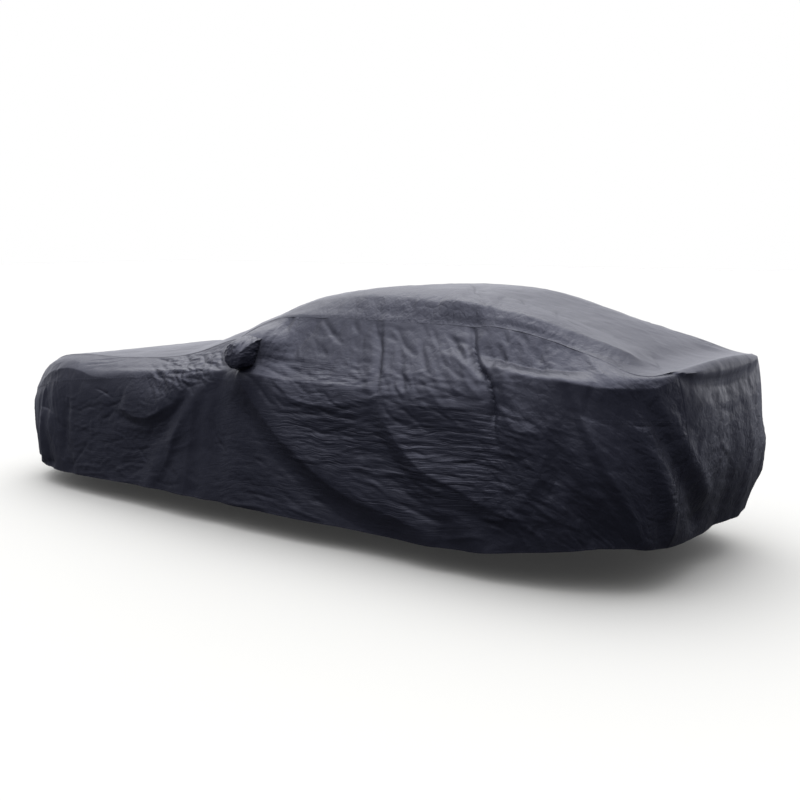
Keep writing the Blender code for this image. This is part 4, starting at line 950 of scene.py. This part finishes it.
def make_pocket(side, word, settings):
    """A mirror pocket: square rings of a grid, from its seam in the side sheet onto a round knob."""
    even = np.linspace(-1, 1, POCKET_CELLS + 1)
    across, down = np.meshgrid(even, even, indexing="ij")
    ring = np.maximum(np.abs(across), np.abs(down))
    safe_ring = np.maximum(ring, np.finfo(float).eps)
    rim = pocket_rim(side, across / safe_ring, down / safe_ring, settings.crease_depth)
    turn = np.arctan2(down, across)
    rise = np.pi / 2 * (1 - ring)
    size = np.cos(rise) ** POCKET_FLATNESS
    out = POCKET_NECK_OUT + (POCKET_TIP_OUT - POCKET_NECK_OUT) * np.sin(rise) ** POCKET_FLATNESS
    droop = POCKET_DROOP * np.sin(rise)
    body = np.stack([POCKET_CENTRE[0] + POCKET_HALF_LENGTH * size * np.cos(turn), side * out,
                     POCKET_CENTRE[1] - POCKET_HALF_HEIGHT * size * np.sin(turn) - droop], axis=-1)
    collar = POCKET_COLLAR[0] + (POCKET_COLLAR[1] - POCKET_COLLAR[0]) * (0.5 + 0.5 * np.cos(turn))
    share = np.clip((1 - ring) / collar, 0, 1)
    share = (share * share * (3 - 2 * share))[..., None]
    points = rim + (body - rim) * share
    flat = np.stack([across, down], axis=-1) * POCKET_HALF_FLAT
    lift = POCKET_CRUMPLE_HEIGHT * ridged(flat + 1.0, POCKET_CRUMPLE_SIZE, POCKET_SWELL + side)
    lift *= np.clip((1 - ring) / POCKET_CALM, 0, 1)
    centre = np.array((POCKET_CENTRE[0], side * POCKET_CORE_OUT, POCKET_CENTRE[1]))
    away = points - centre
    away /= np.linalg.norm(away, axis=-1, keepdims=True)
    points = points + lift[..., None] * away
    seam = (1 - ring) * POCKET_SEAM_RUN
    marks = {"seam": seam, "slack": np.zeros_like(seam), "crumple": np.full_like(seam, POCKET_PLEATS)}
    piece = sheet_object(f"pocket_sheet_{word}", points, flat, marks, settings.thickness)
    dress(piece, f"mirror_pocket_{word}", settings)


def dress(piece, node, settings):
    """Gives a finished sheet its cloth, hangs it under the root and hides the imported part that it stands
    for.
    """
    piece.data.materials.clear()
    piece.data.materials.append(cloth_material(settings))
    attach(piece, "root")
    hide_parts(node)


# ---------------------------------------------------------------- materials

# Small pleats of the cloth: stretch of the pattern, cells a metre, share of a cell that slopes,
# and depth in mm. Each is bent by a slow noise of so many turns a cell and so many cells.
PLEATS = (
    ((1.0, 0.8, 1.0), 12.0, 0.50, 6.0),
    ((1.0, 1.0, 1.0), 27.0, 0.45, 2.4),
    ((1.0, 1.0, 1.0), 60.0, 0.40, 0.7),
)
PLEAT_BEND_TURNS, PLEAT_BEND = 0.7, 1.2
# Fine level creases: lines a metre along and down the side, and depth in mm; a slow noise bends
# them by metres along and down, and each valley takes up a share of the noise
SLACK_LINES = (((2.4, 30.0, 1.0), 1.5), ((5.5, 64.0, 1.0), 0.9))
SLACK_BEND_TURNS, SLACK_BEND = 6.0, (0.05, 0.045, 0.0)
SLACK_VALLEY = 0.11
# Uneven rubbed coating: patches a metre and their roughness, and grain a metre and its depth in mm
PATCHES, PATCH_ROUGHNESS = 3.0, (0.32, 0.44)
GRAIN, GRAIN_DEPTH = 55.0, 0.5
COAT_SHINE, COAT_TINT = 0.4, "#EBEDFF"
# Weave and stitches, in metres, and their depths in mm
WAVE_TURN = math.pi / 10
WEAVE_PITCH = 0.003
WEAVE_DEPTH = 0.04
STITCH_ROW = 0.007
STITCH = 0.009
STITCH_GAP_START = 0.3
THREAD = 0.0016
STITCH_HEIGHT = 0.5


def to_linear(hex_colour):
    """An sRGB hex colour as linear red, green, blue and alpha."""
    parts = [int(hex_colour[place:place + 2], 16) / 255 for place in (1, 3, 5)]
    line = [part / 12.92 if part <= 0.04045 else ((part + 0.055) / 1.055) ** 2.4 for part in parts]
    return line + [1.0]


def add_node(tree, kind, inputs=(), **settings):
    """Adds a node with its settings, and its inputs from values or other nodes' outputs."""
    node = tree.nodes.new(kind)
    for key, value in settings.items():
        setattr(node, key, value)
    for key, value in dict(inputs).items():
        if isinstance(value, bpy.types.NodeSocket):
            tree.links.new(value, node.inputs[key])
        else:
            node.inputs[key].default_value = value
    return node


def creased(tree, metres, stretch, cells, edge):
    """Height 0 to 1 of small pleats: flat cells parted by sharp valleys, bent by a slow noise."""
    bend = PLEAT_BEND / cells
    warp = add_node(tree, "ShaderNodeTexNoise", {"Vector": metres, "Scale": PLEAT_BEND_TURNS * cells,
                                                 "Detail": 3.0})
    bent = add_node(tree, "ShaderNodeVectorMath", {0: warp.outputs["Color"], 1: (bend, bend, 0.0),
                                                   2: metres}, operation="MULTIPLY_ADD")
    scaled = add_node(tree, "ShaderNodeMapping", {"Vector": bent.outputs[0], "Scale": stretch})
    cell = add_node(tree, "ShaderNodeTexVoronoi", {"Vector": scaled.outputs[0], "Scale": cells},
                    feature="DISTANCE_TO_EDGE")
    slope = add_node(tree, "ShaderNodeMapRange", {"Value": cell.outputs["Distance"], "From Max": edge})
    return slope.outputs[0]


def slack_lines(tree, metres, lines):
    """Height 0 to 1 of long level creases: thin valleys of a stretched noise, bent by a slow one."""
    warp = add_node(tree, "ShaderNodeTexNoise", {"Vector": metres, "Scale": SLACK_BEND_TURNS,
                                                 "Detail": 2.0})
    bent = add_node(tree, "ShaderNodeVectorMath", {0: warp.outputs["Color"], 1: SLACK_BEND, 2: metres},
                    operation="MULTIPLY_ADD")
    scaled = add_node(tree, "ShaderNodeMapping", {"Vector": bent.outputs[0], "Scale": lines})
    swell = add_node(tree, "ShaderNodeTexNoise", {"Vector": scaled.outputs[0], "Scale": 1.0,
                                                  "Detail": 1.0})
    middle = add_node(tree, "ShaderNodeMath", {0: swell.outputs[0], 1: 0.5}, operation="SUBTRACT")
    fold = add_node(tree, "ShaderNodeMath", {0: middle.outputs[0]}, operation="ABSOLUTE")
    valley = add_node(tree, "ShaderNodeMapRange", {"Value": fold.outputs[0], "From Max": SLACK_VALLEY})
    return valley.outputs[0]


def raised(tree, height, pattern, depth):
    """The height with a pattern of 0 to 1 added at the given depth in mm, a value or a socket."""
    return add_node(tree, "ShaderNodeMath", {0: pattern, 1: depth, 2: height},
                    operation="MULTIPLY_ADD").outputs[0]


def deeper_in(tree, mark, depth):
    """A depth in mm that follows one of the cloth's marks, such as where it is crumpled."""
    strength = add_node(tree, "ShaderNodeAttribute", attribute_name=mark).outputs["Fac"]
    return add_node(tree, "ShaderNodeMath", {0: strength, 1: depth}, operation="MULTIPLY").outputs[0]


def cloth_height(tree, metres, stitch):
    """Relief of the cloth in mm: grain, pleats, level creases, weave and stitches."""
    grain = add_node(tree, "ShaderNodeTexNoise", {"Vector": metres, "Scale": GRAIN, "Detail": 3.0})
    height = raised(tree, 0.0, grain.outputs[0], GRAIN_DEPTH)
    for stretch, cells, edge, depth in PLEATS:
        pleat = creased(tree, metres, stretch, cells, edge)
        height = raised(tree, height, pleat, deeper_in(tree, "crumple", depth))
    for lines, depth in SLACK_LINES:
        height = raised(tree, height, slack_lines(tree, metres, lines), deeper_in(tree, "slack", depth))
    for direction in ("X", "Y"):
        thread = add_node(tree, "ShaderNodeTexWave", {"Vector": metres, "Scale": WAVE_TURN / WEAVE_PITCH},
                          bands_direction=direction)
        height = raised(tree, height, thread.outputs["Fac"], WEAVE_DEPTH)
    return raised(tree, height, stitch, STITCH_HEIGHT)


def cloth_material(settings):
    """Thin woven polyester with a rubbed coating, which makes it dark blue-grey and satin.

    The coating mirrors the room softly, so that each fold has a light and a dark face. The weave
    is drawn at 3 mm, coarser than the real 0.6 mm, which would shimmer.
    """
    name = "coated_woven_polyester"
    if name in bpy.data.materials:
        return bpy.data.materials[name]
    material = bpy.data.materials.new(name)
    material.use_nodes = True
    tree = material.node_tree
    tree.nodes.clear()
    out = add_node(tree, "ShaderNodeOutputMaterial")
    uv = add_node(tree, "ShaderNodeTexCoord").outputs["UV"]
    metres = add_node(tree, "ShaderNodeMapping", {"Vector": uv, "Scale": (UV_SPAN, UV_SPAN, 1)}).outputs[0]
    patches = add_node(tree, "ShaderNodeTexNoise", {"Vector": metres, "Scale": PATCHES, "Detail": 4.0})
    patch = patches.outputs["Fac"]
    stitch = stitches(tree, metres)
    bump = add_node(tree, "ShaderNodeBump", {"Height": cloth_height(tree, metres, stitch), "Strength": 1.0,
                                             "Distance": MILLIMETRE})
    colour = add_node(tree, "ShaderNodeMix", {0: patch, 6: list(settings.cloth_dark),
                                              7: list(settings.cloth_light)}, data_type="RGBA")
    colour = add_node(tree, "ShaderNodeMix", {0: stitch, 6: colour.outputs[2],
                                              7: list(settings.thread_colour)}, data_type="RGBA")
    rough = add_node(tree, "ShaderNodeMapRange", {"Value": patch, "To Min": PATCH_ROUGHNESS[0],
                                                  "To Max": PATCH_ROUGHNESS[1]})
    shader = add_node(tree, "ShaderNodeBsdfPrincipled", {
        "Base Color": colour.outputs[2], "Roughness": rough.outputs[0], "Normal": bump.outputs[0],
        "Specular IOR Level": COAT_SHINE, "Specular Tint": to_linear(COAT_TINT)})
    tree.links.new(shader.outputs[0], out.inputs[0])
    return material


def stitches(tree, metres):
    """1 on the thread of a row of stitches beside each seam and hem, and 0 elsewhere."""
    seam = add_node(tree, "ShaderNodeAttribute", attribute_name="seam").outputs["Fac"]
    across = add_node(tree, "ShaderNodeMath", {0: seam, 1: STITCH_ROW, 2: THREAD / 2},
                      operation="COMPARE")
    run = add_node(tree, "ShaderNodeSeparateXYZ", {0: metres}).outputs[0]
    part = add_node(tree, "ShaderNodeMath", {0: run, 1: STITCH / 2}, operation="PINGPONG")
    along = add_node(tree, "ShaderNodeMath", {0: part.outputs[0], 1: STITCH_GAP_START * STITCH},
                     operation="LESS_THAN")
    return add_node(tree, "ShaderNodeMath", {0: across.outputs[0], 1: along.outputs[0]},
                    operation="MULTIPLY").outputs[0]


# ---------------------------------------------------------------- settings and operators

class CoverCloth(bpy.types.PropertyGroup):
    """Sizes and colours of the cloth."""
    thickness: bpy.props.FloatProperty(
        name="Thickness", description="Thickness of the cloth", default=0.0012, min=0.0005, max=0.003,
        precision=4, unit="LENGTH")
    crease_depth: bpy.props.FloatProperty(
        name="Crease depth", description="Depth of the creases, as a share of the shown ones",
        default=1.0, min=0.0, max=2.0, subtype="FACTOR")
    cloth_dark: bpy.props.FloatVectorProperty(
        name="Cloth, dark", description="Colour of the cloth where it is darkest", size=4,
        default=to_linear("#22232C"), min=0, max=1, subtype="COLOR")
    cloth_light: bpy.props.FloatVectorProperty(
        name="Cloth, light", description="Colour of the cloth where it is lightest", size=4,
        default=to_linear("#2B2C36"), min=0, max=1, subtype="COLOR")
    thread_colour: bpy.props.FloatVectorProperty(
        name="Thread", description="Colour of the sewing thread", size=4,
        default=to_linear("#3A3C46"), min=0, max=1, subtype="COLOR")


class CoverStudio(bpy.types.PropertyGroup):
    """Light and floor of the studio."""
    floor_colour: bpy.props.FloatVectorProperty(
        name="Floor", description="Colour of the floor", size=4, default=to_linear("#CAC9C2"),
        min=0, max=1, subtype="COLOR")
    sky_power: bpy.props.FloatProperty(
        name="Room light", description="Strength of the broad light overhead", default=1.0, min=0.0)
    back_power: bpy.props.FloatProperty(
        name="Back light", description="Strength of the soft light behind the cover", default=0.8, min=0.0)
    side_power: bpy.props.FloatProperty(
        name="Side light", description="Strength of the soft light from the left side", default=0.16,
        min=0.0)


class COVER_OT_top_sheet(bpy.types.Operator):
    """Make the top sheet from the nose hem over the roof to the tail hem"""
    bl_idname = "cover.top_sheet"
    bl_label = "Top sheet"

    def execute(self, context):
        make_top_sheet(context.scene.cover_cloth)
        return {"FINISHED"}


class COVER_OT_side_sheets(bpy.types.Operator):
    """Make the upper and lower sheets of both sides"""
    bl_idname = "cover.side_sheets"
    bl_label = "Side sheets"

    def execute(self, context):
        for side, word in ((LEFT, "left"), (RIGHT, "right")):
            make_side_sheets(side, word, context.scene.cover_cloth)
        return {"FINISHED"}


class COVER_OT_mirror_pockets(bpy.types.Operator):
    """Make the sewn pockets that hold the door mirrors"""
    bl_idname = "cover.mirror_pockets"
    bl_label = "Mirror pockets"

    def execute(self, context):
        for side, word in ((LEFT, "left"), (RIGHT, "right")):
            make_pocket(side, word, context.scene.cover_cloth)
        return {"FINISHED"}


class COVER_OT_stage(bpy.types.Operator):
    """Make the floor, the light and the camera"""
    bl_idname = "cover.stage"
    bl_label = "Stage"

    def execute(self, context):
        studio = context.scene.cover_studio
        make_floor(studio)
        make_light(context.scene, studio)
        make_camera(context.scene)
        return {"FINISHED"}


# Room light: its colour, strength at the horizon, how much more overhead and how fast it falls off
SKY_COLOUR = "#F6F7FF"
SKY_LOW, SKY_TOP, SKY_FALL = 0.24, 3.5, 2.6
# A pale wall glows behind the cover, close to the floor
BACK_WAY = (-0.50, 0.86, 0.0)
BACK_SPAN = (0.3, 1.0)
BACK_GLOW = 1.7
BACK_FALL = 2.0
# The room is dimmer beyond the tail
TAIL_WAY = (0.95, -0.30, 0.0)
TAIL_SHARE = 0.27
# Lamps: how wide each is, and its turn and height in degrees
LAMP_WIDTH = 50
BACK_TURN, BACK_TILT = 130, 50
SIDE_TURN, SIDE_TILT = -105, 35
FLOOR_HALF = 60
WHITE = (1, 1, 1, 1)
# Painted light: the floor glows a little everywhere, so that the shadow under the hem stays a dark grey
FLOOR_GLOW = 0.03
FLOOR_ROUGHNESS, FLOOR_SHINE = 0.9, 0.1
# Painted shade: the floor that the cloth mirrors is painted dark near the cover, where its shadow falls,
# and a paler grey further away, still darker than the floor that the camera sees
PAINTED_SHADE_FLOOR, FAR_FLOOR = "#26272D", "#6E7078"
PAINTED_SHADE_REACH = (1.0, 3.2)
PAINTED_SHADE_SHAPE = (0.40, 0.55, 0.0)
# Camera fitted to the photo by the places of the hems, pocket and lip: focal length and picture
# width in pixels, then place in metres, and tilt down and turn in degrees
SENSOR_MM = 36
FOCAL_PIXELS, PICTURE_PIXELS = 1126.681, 800
LENS_SHIFT = (0.2068, 0.025)
CAMERA_PLACE = (3.301, -5.682, 0.249)
CAMERA_TILT, CAMERA_TURN = 9.038, 41.291


def make_floor(studio):
    """A plain pale matt floor for the camera, with little gleam of its own. The cloth mirrors it with
    painted shade near the cover, and it glows faintly as painted light.
    """
    bpy.ops.object.select_all(action="DESELECT")
    bpy.ops.mesh.primitive_plane_add(size=1)
    floor = bpy.context.object
    floor.name = "studio_floor"
    corners = np.array(((-1, -1, 0), (1, -1, 0), (-1, 1, 0), (1, 1, 0)), float) * FLOOR_HALF
    corners[:, 2] = -HOLD_POINT[2]
    floor.data.vertices.foreach_set("co", corners.ravel())
    floor.data.update()
    material = bpy.data.materials.new("matt_white_paint")
    material.use_nodes = True
    tree = material.node_tree
    tree.nodes.clear()
    # Painted shade: rays other than the camera's see the floor dark near the cover and a paler grey
    # further off
    seen = add_node(tree, "ShaderNodeLightPath").outputs["Is Camera Ray"]
    place = add_node(tree, "ShaderNodeTexCoord").outputs["Object"]
    place = add_node(tree, "ShaderNodeVectorMath", {0: place, 1: PAINTED_SHADE_SHAPE}, operation="MULTIPLY")
    away = add_node(tree, "ShaderNodeVectorMath", {0: place.outputs[0]}, operation="LENGTH")
    share = add_node(tree, "ShaderNodeMapRange", {
        "Value": away.outputs["Value"], "From Min": PAINTED_SHADE_REACH[0], "From Max": PAINTED_SHADE_REACH[1]})
    painted_shade = add_node(tree, "ShaderNodeMix", {
        0: share.outputs[0], 6: to_linear(PAINTED_SHADE_FLOOR), 7: to_linear(FAR_FLOOR)}, data_type="RGBA")
    paint = add_node(tree, "ShaderNodeMix", {
        0: seen, 6: painted_shade.outputs[2], 7: list(studio.floor_colour)}, data_type="RGBA")
    # Painted light: the floor's faint glow
    shader = add_node(tree, "ShaderNodeBsdfPrincipled", {
        "Base Color": paint.outputs[2], "Roughness": FLOOR_ROUGHNESS, "Specular IOR Level": FLOOR_SHINE,
        "Emission Color": WHITE, "Emission Strength": FLOOR_GLOW})
    add_node(tree, "ShaderNodeOutputMaterial", {"Surface": shader.outputs[0]})
    floor.data.materials.append(material)


def room_level(tree, power):
    """Strength of the room's light each way: bright overhead, a glow behind, dimmer past the tail."""
    way = add_node(tree, "ShaderNodeTexCoord").outputs["Generated"]
    climb = add_node(tree, "ShaderNodeVectorMath", {0: way, 1: (0.0, 0.0, 1.0)}, operation="DOT_PRODUCT")
    climb = add_node(tree, "ShaderNodeMath", {0: climb.outputs["Value"], 1: 0.0}, operation="MAXIMUM")
    over = add_node(tree, "ShaderNodeMath", {0: climb.outputs[0], 1: SKY_FALL}, operation="POWER")
    over = add_node(tree, "ShaderNodeMath", {0: over.outputs[0], 1: SKY_TOP, 2: SKY_LOW},
                    operation="MULTIPLY_ADD")
    low = add_node(tree, "ShaderNodeMath", {0: 1.0, 1: climb.outputs[0]}, operation="SUBTRACT")
    low = add_node(tree, "ShaderNodeMath", {0: low.outputs[0], 1: BACK_FALL}, operation="POWER")
    back = add_node(tree, "ShaderNodeVectorMath", {0: way, 1: BACK_WAY}, operation="DOT_PRODUCT")
    back = add_node(tree, "ShaderNodeMapRange", {
        "Value": back.outputs["Value"], "From Min": BACK_SPAN[0], "From Max": BACK_SPAN[1],
        "To Min": 0.0, "To Max": BACK_GLOW}, interpolation_type="SMOOTHSTEP")
    level = add_node(tree, "ShaderNodeMath", {0: back.outputs[0], 1: low.outputs[0], 2: over.outputs[0]},
                     operation="MULTIPLY_ADD")
    level = add_node(tree, "ShaderNodeMath", {0: level.outputs[0], 1: power}, operation="MULTIPLY")
    tail = add_node(tree, "ShaderNodeVectorMath", {0: way, 1: TAIL_WAY}, operation="DOT_PRODUCT")
    tail = add_node(tree, "ShaderNodeMapRange", {
        "Value": tail.outputs["Value"], "To Min": 1.0, "To Max": TAIL_SHARE})
    return add_node(tree, "ShaderNodeMath", {0: level.outputs[0], 1: tail.outputs[0]},
                    operation="MULTIPLY").outputs[0]


def make_light(scene, studio):
    """The room's soft light, with a white background for the camera, and two broad lamps."""
    world = bpy.data.worlds.new("studio_room")
    scene.world = world
    world.use_nodes = True
    tree = world.node_tree
    tree.nodes.clear()
    room = add_node(tree, "ShaderNodeBackground", {
        "Color": to_linear(SKY_COLOUR), "Strength": room_level(tree, studio.sky_power)})
    wall = add_node(tree, "ShaderNodeBackground", {"Color": WHITE, "Strength": 1.0})
    seen = add_node(tree, "ShaderNodeLightPath").outputs["Is Camera Ray"]
    mix = add_node(tree, "ShaderNodeMixShader", {0: seen, 1: room.outputs[0], 2: wall.outputs[0]})
    add_node(tree, "ShaderNodeOutputWorld", {"Surface": mix.outputs[0]})
    for name, power, turn, tilt in (("soft_back_light", studio.back_power, BACK_TURN, BACK_TILT),
                                    ("soft_side_light", studio.side_power, SIDE_TURN, SIDE_TILT)):
        lamp = bpy.data.lights.new(name, "SUN")
        lamp.angle = math.radians(LAMP_WIDTH)
        lamp.energy = power
        light = bpy.data.objects.new(name, lamp)
        scene.collection.objects.link(light)
        light.rotation_euler = (0, math.radians(90 - tilt), math.radians(turn))
    scene.view_settings.view_transform = "Standard"


def make_camera(scene):
    """The photo's view of the cover."""
    lens = bpy.data.cameras.new("camera")
    lens.sensor_width = SENSOR_MM
    lens.lens = SENSOR_MM * FOCAL_PIXELS / PICTURE_PIXELS
    lens.shift_x, lens.shift_y = LENS_SHIFT
    camera = bpy.data.objects.new("camera", lens)
    scene.collection.objects.link(camera)
    camera.location = CAMERA_PLACE
    camera.rotation_euler = (math.radians(90 - CAMERA_TILT), 0, math.radians(CAMERA_TURN))
    scene.camera = camera


class COVER_PT_panel(bpy.types.Panel):
    """Lists the cover's pieces, sizes and colours"""
    bl_idname = "COVER_PT_panel"
    bl_label = "Fitted car cover"
    bl_space_type = "VIEW_3D"
    bl_region_type = "UI"
    bl_category = "Cover"

    def draw(self, context):
        for label in ("cover_cloth", "cover_studio"):
            group = getattr(context.scene, label)
            for entry in group.__annotations__:
                self.layout.prop(group, entry)
        for operator in OPERATORS:
            self.layout.operator(operator.bl_idname)


OPERATORS = (COVER_OT_top_sheet, COVER_OT_side_sheets, COVER_OT_mirror_pockets, COVER_OT_stage)
CLASSES = (CoverCloth, CoverStudio, *OPERATORS, COVER_PT_panel)


def register():
    for item in CLASSES:
        bpy.utils.register_class(item)
    bpy.types.Scene.cover_cloth = bpy.props.PointerProperty(type=CoverCloth)
    bpy.types.Scene.cover_studio = bpy.props.PointerProperty(type=CoverStudio)


def unregister():
    del bpy.types.Scene.cover_studio
    del bpy.types.Scene.cover_cloth
    for item in reversed(CLASSES):
        bpy.utils.unregister_class(item)


def main():
    register()
    bpy.ops.cover.top_sheet()
    bpy.ops.cover.side_sheets()
    bpy.ops.cover.mirror_pockets()
    bpy.ops.cover.stage()


if __name__ == "__main__":
    main()
